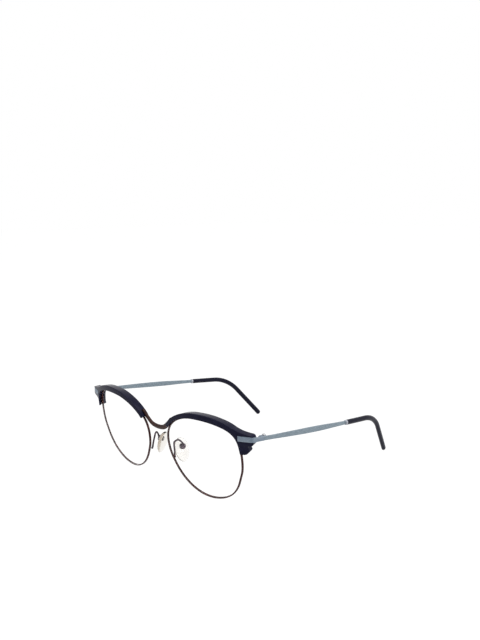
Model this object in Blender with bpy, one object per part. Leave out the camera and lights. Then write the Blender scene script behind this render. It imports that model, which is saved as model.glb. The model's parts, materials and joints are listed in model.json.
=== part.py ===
"""Cat-eye spectacles: thin metal rims under an acetate browline, with flat metal temples.

Metres, +Z up. +X is the wearer's left, +Y runs back to the temple tips.
The left half is modelled and the right half is its mirror image in X.
"""
import math

import bmesh
import bpy
import numpy as np
from mathutils import Matrix, Vector

for leftover in list(bpy.data.objects):
    bpy.data.objects.remove(leftover, do_unlink=True)

# Front: where the lenses stand and how they are curved
lens_width = 0.0530
lens_height = 0.0447
lens_gap = 0.01714
front_radius = 0.141
wrap_angle = math.radians(5.3)
tilt_angle = math.radians(10.2)

# Eyewire: a drawn wire with a V groove for the lens
wire_radial = 0.00075
wire_axial = 0.00115
wire_chamfer = 0.00018
groove_depth = 0.00032
groove_width = 0.00070

# Lens
lens_thickness = 0.0016
lens_edge_gap = 0.00010
bevel_gap = 0.00008

# Brow: acetate cap with a channel for the eyewire and a wing at its outer end
brow_front = 0.0024
brow_rear = 0.0025
brow_height = 0.00300
brow_top_drop = 0.00095
brow_round = 0.00035
lip_gap = 0.00022
lip_gap_outer = 0.00085
channel_side_gap = 0.00020
channel_depth = 0.00048
wing_top_drop = 0.00065
brow_nasal_share = 0.430
wing_start_share = 0.124
brow_bottom_share = 0.047

# Rim lock: the closing block on the outer end of the eyewire
lock_share = 0.066
lock_split = 0.00030
lock_height = 0.0013
lock_reach = 0.0017
lock_width = 0.0016
lock_pocket_gap = 0.00020
lock_screw_radius = 0.00045
lock_screw_head_radius = 0.00072
lock_screw_head_height = 0.00045

# Bridge
bridge_height = 0.00270
bridge_depth = 0.0017
bridge_sink = 0.00460
bridge_forward = 0.0009
bridge_end_forward = 0.00130
bridge_foot_back = 0.00060
bridge_foot_share = 0.408

# Endpiece plate: a painted strip let into the wing, bent round the corner to the hinge
plate_height = 0.00260
plate_thickness = 0.0009
plate_proud = 0.00010
plate_reach = 0.00825
plate_rise = 0.00008
plate_front_share = 1.004
plate_front_up_share = 0.703
plate_corner_radius = 0.00160
plate_side_depth = 0.00280
plate_side_drop = 0.00055
plate_side_taper = 0.0005
plate_neck_height = 0.00210
plate_screw_inset = 0.0034
plate_screw_radius = 0.00055
plate_screw_head_radius = 0.00100
plate_screw_head_height = 0.00045
plate_screw_bite = 0.00045

# Hinge: three knuckles and a screw, placed from the corner of the endpiece plate
hinge_inset = 0.0031
hinge_setback = 0.01069
hinge_drop = 0.00120
knuckle_radius = 0.00108
knuckle_height = 0.00050
knuckle_gap = 0.00008
hinge_leaf_length = 0.00160
hinge_leaf_height = 0.00110
leaf_step = 0.00010
hinge_screw_radius = 0.00050
hinge_screw_head_radius = 0.00085
hinge_screw_head_height = 0.00055

# Temple: a flat strip, then a core inside the tip sleeve
butt_gap = 0.00010
hinge_side_gap = 0.00017
hinge_turn_gap = 0.00041
temple_inward = math.radians(2.667)
temple_slope = math.radians(5.232)
temple_to_bend = 0.09671
temple_leg = 0.03725
leg_drop = math.radians(48.1)
leg_inward = math.radians(21.4)
bend_tangent = 0.01123
temple_bow = 0.00154
temple_to_sleeve = 0.06695
temple_thickness = 0.00100
temple_height_hinge = 0.00210
temple_height_middle = 0.00298
temple_height_sleeve = 0.00185
collar_length = 0.00130
temple_chamfer = 0.00018
core_height = 0.00120
core_thickness = 0.00080
core_chamfer = 0.00014
core_end_margin = 0.0080

# Tip sleeve
sleeve_height = 0.0029
sleeve_thickness = 0.00265
sleeve_tip_height = 0.0032
sleeve_mouth_round = 0.00040
bore_gap = 0.00010
sleeve_front_gap = 0.00010

# Pad arm, cup and pad
cup_clear = 0.0010
cup_back = 0.0081
cup_drop = 0.0019
pad_splay = math.radians(15)
pad_frontal = math.radians(16)
pad_lean = math.radians(7)
cup_radius = 0.0017
cup_front_depth = 0.00050
cup_back_depth = 0.00115
cup_slot_width = 0.00110
tang_side_gap = 0.00012
tang_end_gap = 0.00013
arm_radius = 0.00050
arm_root_drop = 0.00670
arm_leg_inset = 0.0009
arm_leg_front = 0.0050
arm_leg_top = 0.0026
arm_loop_top = 0.00420
pad_height = 0.0135
pad_width = 0.0084
pad_thickness = 0.0017
pad_drop = 0.0019
pad_back_depth = 0.00088
pad_taper_share = 0.06
tang_radius = 0.00072
pad_screw_radius = 0.00036
pad_screw_head_radius = 0.00060
pad_screw_head_height = 0.00030

# Clearances
seat_gap = 0.00008
bore_clearance = 0.00006
paint_gap = 0.00010
cut_overrun = 0.0020

# Facets
tangent_share = 0.004
frame_step = 0.0015
rim_stations = 56
arch_stations = 22
round_sides = 16
wire_sides = 10

# Outlines, as shares of half the lens width and half the lens height
rim_shares = [
    (0.983, 0.000), (0.991, 0.157), (0.989, 0.313), (0.980, 0.461), (0.955, 0.591),
    (0.906, 0.698), (0.826, 0.787), (0.713, 0.848), (0.585, 0.890), (0.415, 0.926),
    (0.226, 0.946), (0.038, 0.949), (-0.155, 0.937), (-0.340, 0.896), (-0.494, 0.840),
    (-0.642, 0.763), (-0.777, 0.660), (-0.864, 0.565), (-0.940, 0.437), (-0.983, 0.293),
    (-0.998, 0.145), (-0.990, 0.000), (-0.963, -0.148), (-0.912, -0.290), (-0.791, -0.541),
    (-0.634, -0.752), (-0.443, -0.910), (-0.228, -1.007), (0.000, -1.039), (0.228, -1.010),
    (0.451, -0.925), (0.653, -0.774), (0.808, -0.553), (0.911, -0.289), (0.959, -0.143),
]
# Wing rungs from the lower end to the arch: place on the rim, outer point, front and rear depth
wing_shares = [
    (0.00, 1.080, 0.308, 0.55, 1.25), (0.12, 1.134, 0.328, 0.50, 1.25),
    (0.24, 1.184, 0.386, 0.50, 1.08), (0.34, 1.188, 0.458, 0.58, 0.90),
    (0.43, 1.198, 0.524, 0.76, 0.76), (0.51, 1.290, 0.564, 0.92, 0.66),
    (0.59, 1.315, 0.630, 1.00, 0.60), (0.67, 1.320, 0.716, 1.00, 0.56),
    (0.75, 1.293, 0.784, 1.00, 0.52), (0.83, 1.195, 0.806, 1.00, 0.52),
    (0.91, 1.057, 0.841, 1.00, 0.60), (1.00, 0.936, 0.893, 1.00, 0.77),
]
# Section through the pad from its back to its face: depth and outline
pad_section_shares = [
    (0.00, 0.84), (0.10, 0.95), (0.30, 1.00), (0.55, 0.97), (0.82, 0.80), (0.97, 0.48),
]
# Height of the brow along the arch, from the wing to the nose
arch_height_shares = [0.96, 1.01, 1.04, 1.02, 0.97, 0.88, 0.76, 0.64]
# Temple height from its hinge value to the middle value, and on to the sleeve value
temple_height_shares = [(0.00, 0.00), (0.10, 0.05), (0.30, 0.60), (0.50, 1.00)]
sleeve_height_shares = [(0.50, 1.00), (0.66, 0.92), (0.85, 0.35), (1.00, 0.00)]
# Bore of the tip sleeve, as shares of its width and height, one point for each outer facet
bore_shares = [(0.5, 0.0), (0.5, 0.3), (0.36, 0.5), (0.0, 0.5), (-0.36, 0.5), (-0.5, 0.3),
               (-0.5, 0.0), (-0.5, -0.3), (-0.36, -0.5), (0.0, -0.5), (0.36, -0.5), (0.5, -0.3)]


def material(name, colour, roughness, metallic, transmission=0.0):
    mat = bpy.data.materials.new(name)
    mat.use_nodes = True
    shader = mat.node_tree.nodes["Principled BSDF"]
    shader.inputs["Base Color"].default_value = (*colour, 1.0)
    shader.inputs["Roughness"].default_value = roughness
    shader.inputs["Metallic"].default_value = metallic
    shader.inputs["Transmission Weight"].default_value = transmission
    mat.diffuse_color = (*colour, 1.0)
    return mat


lens_centre_out = (lens_gap + lens_width) / 2
temple_offset = knuckle_radius + hinge_side_gap + temple_thickness / 2


# Curves

def closed_curve(points, count):
    """Points evenly spaced along a smooth closed curve through the given ones."""
    pts = np.array(points)
    n = len(pts)
    fine = []
    for i in range(n):
        a, b, c, d = pts[i - 1], pts[i], pts[(i + 1) % n], pts[(i + 2) % n]
        for t in np.linspace(0, 1, 24, endpoint=False):
            fine.append(0.5 * (2 * b + (c - a) * t + (2 * a - 5 * b + 4 * c - d) * t ** 2
                               + (3 * b - a - 3 * c + d) * t ** 3))
    fine = np.array(fine + [fine[0]])
    length = np.concatenate([[0], np.cumsum(np.linalg.norm(np.diff(fine, axis=0), axis=1))])
    wanted = np.linspace(0, length[-1], count, endpoint=False)
    return np.stack([np.interp(wanted, length, fine[:, k]) for k in range(2)], 1)


RIM_FINE = closed_curve(
    [(u * lens_width / 2, v * lens_height / 2) for u, v in rim_shares], 720)


def rim_point(share):
    """Rim centreline point at a share of the way round, counted up from the outer side."""
    place = (share % 1.0) * len(RIM_FINE)
    i = int(place) % len(RIM_FINE)
    t = place - int(place)
    return RIM_FINE[i] * (1 - t) + RIM_FINE[(i + 1) % len(RIM_FINE)] * t


def rim_frame(share):
    """Point, tangent and outward normal of the rim centreline."""
    tangent = rim_point(share + tangent_share) - rim_point(share - tangent_share)
    tangent = tangent / np.linalg.norm(tangent)
    return rim_point(share), tangent, np.array([tangent[1], -tangent[0]])


def sag(u, v):
    """How far the lens surface lies behind its centre at a point."""
    return (u * u + v * v) / (2 * front_radius)


def turn_front(u, v, w):
    """Direction in the lens frame (out, up, back) turned by the wrap and the tilt."""
    x = u * math.cos(wrap_angle) - w * math.sin(wrap_angle)
    y = u * math.sin(wrap_angle) + w * math.cos(wrap_angle)
    return Vector((x,
                   y * math.cos(tilt_angle) - v * math.sin(tilt_angle),
                   y * math.sin(tilt_angle) + v * math.cos(tilt_angle)))


def front_point(u, v, offset=0.0):
    """Point of the left lens frame, offset behind the lens surface, in the part's frame."""
    return turn_front(u, v, sag(u, v) + offset) + Vector((lens_centre_out, 0, 0))


def along(points, distance):
    """Point at a distance along a run of points."""
    left = distance
    for a, b in zip(points, points[1:]):
        step = (b - a).length
        if left <= step:
            return a.lerp(b, left / step)
        left -= step
    return points[-1].copy()


def run_length(points):
    return sum((b - a).length for a, b in zip(points, points[1:]))


def smooth_run(points, count):
    """Evenly spaced points on a smooth open curve through the given ones."""
    ends = [points[0] * 2 - points[1]] + list(points) + [points[-1] * 2 - points[-2]]
    fine = []
    for a, b, c, d in zip(ends, ends[1:], ends[2:], ends[3:]):
        for k in range(12):
            t = k / 12
            fine.append((b * 2 + (c - a) * t + (a * 2 - b * 5 + c * 4 - d) * t ** 2
                         + (b * 3 - a - c * 3 + d) * t ** 3) / 2)
    fine.append(points[-1])
    total = run_length(fine)
    return [along(fine, total * k / (count - 1)) for k in range(count)]


def frames(points, reference):
    """Side and rise directions square to a run of points."""
    result = []
    for i, point in enumerate(points):
        before = points[max(i - 1, 0)]
        after = points[min(i + 1, len(points) - 1)]
        tangent = (after - before).normalized()
        side = tangent.cross(reference).normalized()
        result.append((point, side, side.cross(tangent).normalized()))
    return result


# Sections, as lists of (side, rise)

def chamfered(width, height, cut):
    a, b = width / 2, height / 2
    return [(-a + cut, -b), (a - cut, -b), (a, -b + cut), (a, b - cut),
            (a - cut, b), (-a + cut, b), (-a, b - cut), (-a, -b + cut)]


def oval(width, height, sides):
    return [(width / 2 * math.cos(math.tau * k / sides), height / 2 * math.sin(math.tau * k / sides))
            for k in range(sides)]


# Mesh making

def loft(rings, closed=False):
    """One closed skin over a row of equal rings, with its ends filled."""
    bm = bmesh.new()
    rows = [[bm.verts.new(p) for p in ring] for ring in rings]
    pairs = list(zip(rows, rows[1:]))
    if closed:
        pairs.append((rows[-1], rows[0]))
    for low, high in pairs:
        for k in range(len(low)):
            j = (k + 1) % len(low)
            bm.faces.new((low[k], low[j], high[j], high[k]))
    if not closed:
        bm.faces.new(rows[0])
        bm.faces.new(rows[-1])
    bmesh.ops.recalc_face_normals(bm, faces=bm.faces)
    return bm


def sweep(points, reference, sections):
    """Skin over sections carried along a run of points; one section, or one for each point."""
    rings = []
    for i, (point, side, rise) in enumerate(frames(points, reference)):
        section = sections[i] if isinstance(sections[0], list) else sections
        rings.append([point + side * a + rise * b for a, b in section])
    return loft(rings)


def carry(course, stations):
    """Skin over (distance along a course, section) pairs, which may also run back inside."""
    rings = []
    reach = run_length(course)
    for distance, section in stations:
        before = along(course, max(distance - frame_step, 0))
        tangent = along(course, min(distance + frame_step, reach)) - before
        side = tangent.normalized().cross(Vector((0, 0, 1))).normalized()
        rise = side.cross(tangent.normalized())
        spot = along(course, distance)
        rings.append([spot + side * a + rise * b for a, b in section])
    return loft(rings)


def turned(base, axis, profile, sides=round_sides):
    """Round piece from (distance along the axis, radius) pairs."""
    axis = axis.normalized()
    side = axis.orthogonal().normalized()
    rise = axis.cross(side)
    rings = [[base + axis * along_axis + (side * math.cos(math.tau * k / sides)
                                          + rise * math.sin(math.tau * k / sides)) * radius
              for k in range(sides)] for along_axis, radius in profile]
    return loft(rings)


def block(centre, axes, sizes):
    """Box from its centre, three square directions and three sizes."""
    x, y, z = [axis.normalized() * size / 2 for axis, size in zip(axes, sizes)]
    low = [centre - x - y - z, centre + x - y - z, centre + x + y - z, centre - x + y - z]
    return loft([low, [p + z * 2 for p in low]])


def add_object(name, bm, side, mat, pivot=None):
    """Object from a mesh made for the left side, mirrored where the side is the right one."""
    pivot = pivot.copy() if pivot else Vector((0, 0, 0))
    if side < 0:
        for vert in bm.verts:
            vert.co.x = -vert.co.x
        bmesh.ops.reverse_faces(bm, faces=bm.faces)
        pivot.x = -pivot.x
    for vert in bm.verts:
        vert.co -= pivot
    mesh = bpy.data.meshes.new(name)
    bm.to_mesh(mesh)
    bm.free()
    if mat:
        mesh.materials.append(mat)
        mesh.shade_smooth()
        mesh.set_sharp_from_angle(angle=math.radians(32))
    item = bpy.data.objects.new(name, mesh)
    item.location = pivot
    bpy.context.collection.objects.link(item)
    item.parent = ROOT
    return item


def combine(item, operation, bm, side, label):
    """Add a shape to an object, or cut one from it, with a hidden helper object."""
    helper = add_object(f"{item.name}_{label}", bm, side, None)
    helper.hide_render = True
    helper.display_type = "WIRE"
    step = item.modifiers.new(label, "BOOLEAN")
    step.operation = operation
    step.solver = "EXACT"
    step.object = helper
    return item


def cut(item, bm, side, label):
    return combine(item, "DIFFERENCE", bm, side, label)


def join(item, bm, side, label):
    return combine(item, "UNION", bm, side, label)


def screw_profile(length, radius, head_radius, head_height):
    """Head first, then the shank."""
    return [(-head_height, head_radius * 0.82), (-head_height * 0.7, head_radius),
            (0.0, head_radius), (0.0, radius), (length - radius * 0.4, radius),
            (length, radius * 0.6)]


def slot_cutter(base, axis, head_radius, head_height):
    """Blade of the screwdriver slot in a head whose top is head_height before the base."""
    axis = axis.normalized()
    side = axis.orthogonal().normalized()
    depth = head_height * 0.9
    centre = base - axis * head_height
    return block(centre, [side, axis.cross(side), axis],
                 [head_radius * 3, head_radius * 0.3, depth])


# Eyewire and lens

def wire_section():
    a, b = wire_radial / 2, wire_axial / 2
    g = groove_width / 2
    return [(-a, -b), (a - wire_chamfer, -b), (a, -b + wire_chamfer), (a, b - wire_chamfer),
            (a - wire_chamfer, b), (-a, b), (-a, g), (-a + groove_depth, 0.0), (-a, -g)]


def rim_ring(share, section):
    """Section set square to the rim at one place: (outward, backward) pairs."""
    (u, v), _, (nu, nv) = rim_frame(share)
    base = sag(u, v)
    centre = Vector((lens_centre_out, 0, 0))
    return [turn_front(u + nu * r, v + nv * r, base + w) + centre for r, w in section]


def rim_perimeter():
    loop = np.vstack([RIM_FINE, RIM_FINE[:1]])
    return float(np.linalg.norm(np.diff(loop, axis=0), axis=1).sum())


def make_eyewire(side, name):
    gap = lock_split / 2 / rim_perimeter()
    shares = np.linspace(lock_share + gap, 1 + lock_share - gap, rim_stations + 1)
    return add_object(name, loft([rim_ring(s, wire_section()) for s in shares]), side, RIM_METAL)


def make_lens(side, name):
    edge = -wire_radial / 2 - lens_edge_gap
    tip = -wire_radial / 2 + groove_depth - bevel_gap
    half = lens_thickness / 2
    foot = groove_width / 2
    shares = np.linspace(lock_share, 1 + lock_share, rim_stations, endpoint=False)
    bm = bmesh.new()
    centre = Vector((lens_centre_out, 0, 0))

    def ring(inset, depth, fraction=1.0):
        row = []
        for share in shares:
            (u, v), _, (nu, nv) = rim_frame(share)
            a, b = (u + nu * inset) * fraction, (v + nv * inset) * fraction
            row.append(bm.verts.new(turn_front(a, b, sag(a, b) + depth) + centre))
        return row

    rows = [ring(edge, -half, f) for f in (0.4, 0.75, 1.0)]
    rows += [ring(edge, -foot), ring(tip, 0.0), ring(edge, foot)]
    rows += [ring(edge, half, f) for f in (1.0, 0.75, 0.4)]
    for low, high in zip(rows, rows[1:]):
        for k in range(len(low)):
            j = (k + 1) % len(low)
            bm.faces.new((low[k], low[j], high[j], high[k]))
    for row, depth in ((rows[0], -half), (rows[-1], half)):
        hub = bm.verts.new(turn_front(0, 0, depth) + centre)
        for k in range(len(row)):
            bm.faces.new((row[k], row[(k + 1) % len(row)], hub))
    bmesh.ops.recalc_face_normals(bm, faces=bm.faces)
    return add_object(name, bm, side, LENS)


# Brow

def brow_rungs():
    """Rungs across the brow: lower point, outer point, drop of the rear edge, outer depths."""
    rungs = []
    span = wing_start_share - brow_bottom_share
    for place, out, up, front, rear in wing_shares:
        (u, v), _, (nu, nv) = rim_frame(brow_bottom_share + span * place)
        gap = lip_gap_outer + (lip_gap - lip_gap_outer) * place
        low = np.array([u + nu * gap, v + nv * gap])
        high = np.array([out * lens_width / 2, up * lens_height / 2])
        drop = wing_top_drop + (brow_top_drop - wing_top_drop) * place ** 3
        rungs.append((low, high, drop, brow_front * front, brow_rear * rear))
    steps = np.linspace(0, 1, arch_stations + 1)[1:]
    for t in steps:
        (u, v), _, (nu, nv) = rim_frame(wing_start_share + (brow_nasal_share - wing_start_share) * t)
        low = np.array([u + nu * lip_gap, v + nv * lip_gap])
        place = np.linspace(0, 1, len(arch_height_shares))
        height = brow_height * np.interp(t, place, arch_height_shares)
        high = low + np.array([nu, nv]) * height
        rungs.append((low, high, brow_top_drop, brow_front, brow_rear))
    return rungs


def make_brow(side, name):
    half_slot = wire_axial / 2 + channel_side_gap
    c = brow_round
    rings = []
    centre = Vector((lens_centre_out, 0, 0))
    for low, high, drop, front_top, rear_top in brow_rungs():
        reach = np.linalg.norm(high - low)
        way = (high - low) / reach
        base = sag(*low)
        slope = sag(*high) - base

        def at(distance, depth):
            u, v = low + way * distance
            return turn_front(u, v, base + slope * distance / reach + depth) + centre

        rings.append([
            at(0, -brow_front + c), at(c, -brow_front), at(reach - c, -front_top),
            at(reach, -front_top + c), at(reach - drop, rear_top - c),
            at(reach - drop - c, rear_top), at(c, brow_rear), at(0, brow_rear - c),
            at(0, half_slot), at(channel_depth, half_slot),
            at(channel_depth, -half_slot), at(0, -half_slot)])
    brow = add_object(name, loft(rings), side, ACETATE)

    cut(brow, plate_sweep(plate_height + paint_gap * 2, plate_thickness + paint_gap,
                          cut_overrun, plate_neck_height + paint_gap * 2), side, "plate_groove")
    cut(brow, lock_pocket(), side, "lock_pocket")
    cut(brow, bridge_notch(), side, "bridge_notch")
    base, axis = plate_screw_place()
    profile = [(-cut_overrun, plate_screw_head_radius + paint_gap),
               (0.0, plate_screw_head_radius + paint_gap),
               (0.0, plate_screw_radius + bore_clearance),
               (cut_overrun * 2, plate_screw_radius + bore_clearance)]
    cut(brow, turned(base, axis, profile), side, "screw_hole")
    return brow


# Rim lock

def lock_frame():
    """Centre on the rim, and the along, out and back directions at the rim's split."""
    (u, v), (tu, tv), (nu, nv) = rim_frame(lock_share)
    return (front_point(u, v), turn_front(tu, tv, 0), turn_front(nu, nv, 0), turn_front(0, 0, 1))


def lock_block(direction):
    centre, up, out, back = lock_frame()
    middle = centre + up * direction * (lock_split + lock_height) / 2
    middle = middle + out * (wire_radial / 2 + seat_gap + lock_reach / 2)
    return block(middle, [up, out, back], [lock_height, lock_reach, lock_width])


def lock_screw_place():
    centre, up, out, _ = lock_frame()
    base = centre + out * (wire_radial / 2 + seat_gap + lock_reach / 2)
    return base - up * (lock_split / 2 + lock_height + seat_gap), up


def lock_pocket():
    centre, up, out, back = lock_frame()
    top = lock_split / 2 + lock_height + lock_pocket_gap
    low = lock_height * 6
    reach = wire_radial / 2 + seat_gap + lock_reach + lock_pocket_gap
    middle = centre + up * (top - low) / 2 + out * (reach - lock_reach) / 2
    return block(middle, [up, out, back],
                 [top + low, reach + lock_reach, lock_width + lock_pocket_gap * 2])


def make_lock(side, names):
    base, axis = lock_screw_place()
    hole = [(-cut_overrun, lock_screw_radius + bore_clearance),
            (cut_overrun * 3, lock_screw_radius + bore_clearance)]
    for name, direction in ((names[0], 1), (names[1], -1)):
        item = add_object(name, lock_block(direction), side, RIM_METAL)
        cut(item, turned(base, axis, hole, wire_sides), side, "screw_hole")
    length = lock_height * 2 + lock_split
    screw = add_object(names[2], turned(base, axis, screw_profile(
        length, lock_screw_radius, lock_screw_head_radius, lock_screw_head_height), wire_sides),
        side, SCREW_STEEL)
    cut(screw, slot_cutter(base, axis, lock_screw_head_radius, lock_screw_head_height), side, "slot")


# Bridge

def bridge_run():
    """Bridge centreline from the middle plane out to its foot on the left rim."""
    lift = wire_radial / 2 + seat_gap + bridge_height / 2
    feet = []
    for k in range(3):
        share = brow_nasal_share + (bridge_foot_share - brow_nasal_share) * (k + 0.4) / 2.4
        (u, v), _, (nu, nv) = rim_frame(share)
        feet.append(front_point(u + nu * lift, v + nv * lift, bridge_foot_back))
    end_rise = feet[0].z - bridge_sink * 0.33
    points = []
    for share in (0.0, 0.27, 0.54, 0.82):
        sunk = 1 - 0.6 * (share / 0.82) ** 2 - 0.4 * (share / 0.82) ** 4
        forward = bridge_forward + (bridge_end_forward - bridge_forward) * share ** 2
        points.append(Vector((feet[0].x * share, -forward,
                              end_rise - bridge_sink * 0.67 * sunk)))
    return points + feet


def bridge_points():
    half = smooth_run(bridge_run(), 13)
    mirror = [Vector((-p.x, p.y, p.z)) for p in reversed(half[1:])]
    return mirror + half


def bridge_reference():
    return Vector((0, -math.sin(tilt_angle), math.cos(tilt_angle)))


def bridge_notch():
    """Cutter that leaves room for the bridge's foot and opens through the brow's top."""
    half = smooth_run(bridge_run(), 13)[5:]
    half.append(half[-1] + (half[-1] - half[-2]).normalized() * bridge_depth / 4)
    wide = bridge_depth / 2 + paint_gap
    low, high = -bridge_height / 2 - paint_gap, bridge_height * 1.5
    section = [(-wide, low), (wide, low), (wide, high), (-wide, high)]
    return sweep(half, bridge_reference(), section)


def make_bridge(name):
    section = oval(bridge_depth, bridge_height, wire_sides + 2)
    return add_object(name, sweep(bridge_points(), bridge_reference(), section), 1, RIM_METAL)


# Endpiece plate

def plate_face(u, v):
    """Point of the plate's outer face on the front of the brow."""
    return front_point(u, v, -brow_front - plate_proud)


def plate_ends():
    """Front end and corner of the plate, as places on the lens frame."""
    start = (lens_width / 2 * plate_front_share, lens_height / 2 * plate_front_up_share)
    return start, (start[0] + plate_reach, start[1] + plate_rise)


def hinge_centre():
    _, corner = plate_ends()
    return plate_face(*corner) + Vector((-hinge_inset, hinge_setback, -hinge_drop))


def temple_start():
    return hinge_centre() + Vector((temple_offset, -knuckle_radius - hinge_turn_gap, 0))


def plate_run():
    """Outer face of the plate at mid height, from its front end to the temple."""
    front, side_end = plate_ends()
    start = plate_face(*front)
    corner = plate_face(*side_end)
    rear = front_point(*side_end, plate_side_depth - brow_front)
    rear.x = corner.x - plate_side_taper
    rear.z = corner.z - plate_side_drop
    end = temple_start() + Vector((temple_thickness / 2, -butt_gap, 0))
    into, away = (corner - start).normalized(), (rear - corner).normalized()
    a, b = corner - into * plate_corner_radius, corner + away * plate_corner_radius
    points = [start.lerp(a, t) for t in (0, 0.33, 0.66)]
    for k in range(6):
        t = k / 5
        points.append(a.lerp(corner, t).lerp(corner.lerp(b, t), t))
    points.append(rear)
    points += [rear.lerp(end, t) for t in (0.18, 1.0)]
    return points


def plate_sweep(height, thickness, outside, neck):
    points = plate_run()
    sections = []
    for i in range(len(points)):
        tall = height if i < len(points) - 2 else neck
        half = tall / 2
        sections.append([(-thickness, -half), (outside, -half), (outside, half), (-thickness, half)])
    return sweep(points, Vector((0, 0, 1)), sections)


def plate_screw_place():
    """Under the screw head at the back of the wing, and the direction to the plate."""
    (out, up), _ = plate_ends()
    return front_point(out + plate_screw_inset, up, brow_rear / 2), turn_front(0, 0, -1)


def knuckle_bounds(index):
    """Low and high end of a knuckle, counted from the bottom."""
    pitch = knuckle_height + knuckle_gap
    middle = hinge_centre().z + pitch * (index - 1)
    return middle - knuckle_height / 2, middle + knuckle_height / 2


def knuckle(index, arm, reach):
    """Round-ended ear about the hinge axis, with its arm running out to what carries it."""
    low, high = knuckle_bounds(index)
    centre = hinge_centre()
    across = Vector((-arm.y, arm.x, 0))
    outline = []
    for k in range(9):
        angle = math.pi * k / 8
        outline.append(across * math.cos(angle) - arm * math.sin(angle))
    ring = [centre + p * knuckle_radius for p in outline]
    ring.append(centre + arm * reach - across * knuckle_radius)
    ring.append(centre + arm * reach + across * knuckle_radius)
    for p in ring:
        p.z = low
    return loft([ring, [p + Vector((0, 0, high - low)) for p in ring]])


def hinge_bore():
    """Cutter for the screw through all the knuckles."""
    radius = hinge_screw_radius + bore_clearance
    base = hinge_centre() - Vector((0, 0, cut_overrun))
    return turned(base, Vector((0, 0, 1)), [(0.0, radius), (cut_overrun * 2, radius)])


def make_plate(side, name):
    item = add_object(name, plate_sweep(plate_height, plate_thickness, 0.0, plate_neck_height),
                      side, BLUE_METAL)
    hinge, start = hinge_centre(), temple_start()
    outer = start.x + temple_thickness / 2 - plate_thickness / 2
    inner = hinge.x - knuckle_radius - leaf_step
    front = hinge.y - knuckle_radius - hinge_leaf_length
    butt = start.y - butt_gap
    bottom, _ = knuckle_bounds(0)
    _, top = knuckle_bounds(2)
    leaf = Vector(((outer + inner) / 2, (front + butt) / 2, (bottom + top) / 2))
    join(item, block(leaf, WORLD_AXES, [outer - inner, butt - front, hinge_leaf_height]), side, "leaf")
    for index, label in ((0, "lower"), (2, "upper")):
        reach = hinge.y - butt + hinge_leaf_length / 2
        join(item, knuckle(index, Vector((0, -1, 0)), reach), side, label + "_knuckle")
    cut(item, hinge_bore(), side, "bore")
    base, axis = plate_screw_place()
    face = plate_face_distance()
    pilot = [(face - cut_overrun, plate_screw_radius + bore_clearance),
             (face + plate_screw_bite + bore_clearance, plate_screw_radius + bore_clearance)]
    cut(item, turned(base, axis, pilot), side, "pilot")
    return item


def plate_face_distance():
    """From under the screw head to the plate's inner face."""
    return brow_rear / 2 + brow_front + plate_proud - plate_thickness


def make_plate_screw(side, name):
    base, axis = plate_screw_place()
    length = plate_face_distance() + plate_screw_bite
    base = base - axis * seat_gap
    item = add_object(name, turned(base, axis, screw_profile(
        length, plate_screw_radius, plate_screw_head_radius, plate_screw_head_height)), side, SCREW_STEEL)
    cut(item, slot_cutter(base, axis, plate_screw_head_radius, plate_screw_head_height), side, "slot")
    return item


def make_hinge_screw(side, name):
    _, high = knuckle_bounds(2)
    low, _ = knuckle_bounds(0)
    centre = hinge_centre()
    base = Vector((centre.x, centre.y, high + seat_gap))
    down = Vector((0, 0, -1))
    item = add_object(name, turned(base, down, screw_profile(
        high - low + seat_gap, hinge_screw_radius, hinge_screw_head_radius,
        hinge_screw_head_height)), side, SCREW_STEEL, centre)
    cut(item, slot_cutter(base, down, hinge_screw_head_radius, hinge_screw_head_height), side, "slot")
    return item


# Temple and tip

def temple_course():
    """Centreline of the temple from the hinge, through the ear bend, to the end of the tip."""
    start = temple_start()
    ahead = Vector((-math.sin(temple_inward) * math.cos(temple_slope),
                    math.cos(temple_inward) * math.cos(temple_slope), -math.sin(temple_slope)))
    leg = Vector((-math.sin(leg_inward) * math.cos(leg_drop),
                  math.cos(leg_inward) * math.cos(leg_drop), -math.sin(leg_drop)))
    corner = start + ahead * temple_to_bend
    a, b = corner - ahead * bend_tangent, corner + leg * bend_tangent
    turn = math.acos(ahead.dot(leg))
    radius = bend_tangent / math.tan(turn / 2)
    inward = (leg - ahead * math.cos(turn)) / math.sin(turn)
    points = [start.lerp(a, k / 24) for k in range(24)]
    for k in range(13):
        t = turn * k / 12
        points.append(a + (ahead * math.sin(t) + inward * (1 - math.cos(t))) * radius)
    points += [b.lerp(corner + leg * temple_leg, k / 6) for k in range(1, 7)]
    for p in points:
        share = min(max((p.y - start.y) / (corner.y - start.y), 0), 1)
        p.x += temple_bow * 4 * share * (1 - share)
    return points


def temple_tall(distance):
    """Height of the strip at a distance from the hinge."""
    share = distance / temple_to_sleeve
    if share <= 0.5:
        places, parts = zip(*temple_height_shares)
        low = temple_height_hinge
    else:
        places, parts = zip(*sleeve_height_shares)
        low = temple_height_sleeve
    return low + (temple_height_middle - low) * float(np.interp(share, places, parts))


def make_temple(side, name):
    course = temple_course()
    total = run_length(course)
    core_end = total - core_end_margin
    stations = []
    neck = temple_to_sleeve - collar_length
    for distance in np.linspace(0, neck, 15):
        stations.append((distance, chamfered(temple_thickness, temple_tall(distance), temple_chamfer)))
    collar = chamfered(sleeve_thickness, sleeve_height, sleeve_thickness * 0.28)
    stations += [(neck + collar_length * 0.3, collar), (temple_to_sleeve, collar)]
    for distance in np.linspace(temple_to_sleeve, core_end, 16):
        stations.append((distance, chamfered(core_thickness, core_height, core_chamfer)))
    item = add_object(name, carry(course, stations), side, BLUE_METAL, hinge_centre())
    join(item, knuckle(1, Vector((1, 0, 0)), temple_offset), side, "knuckle")
    cut(item, hinge_bore(), side, "bore")
    return item


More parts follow.
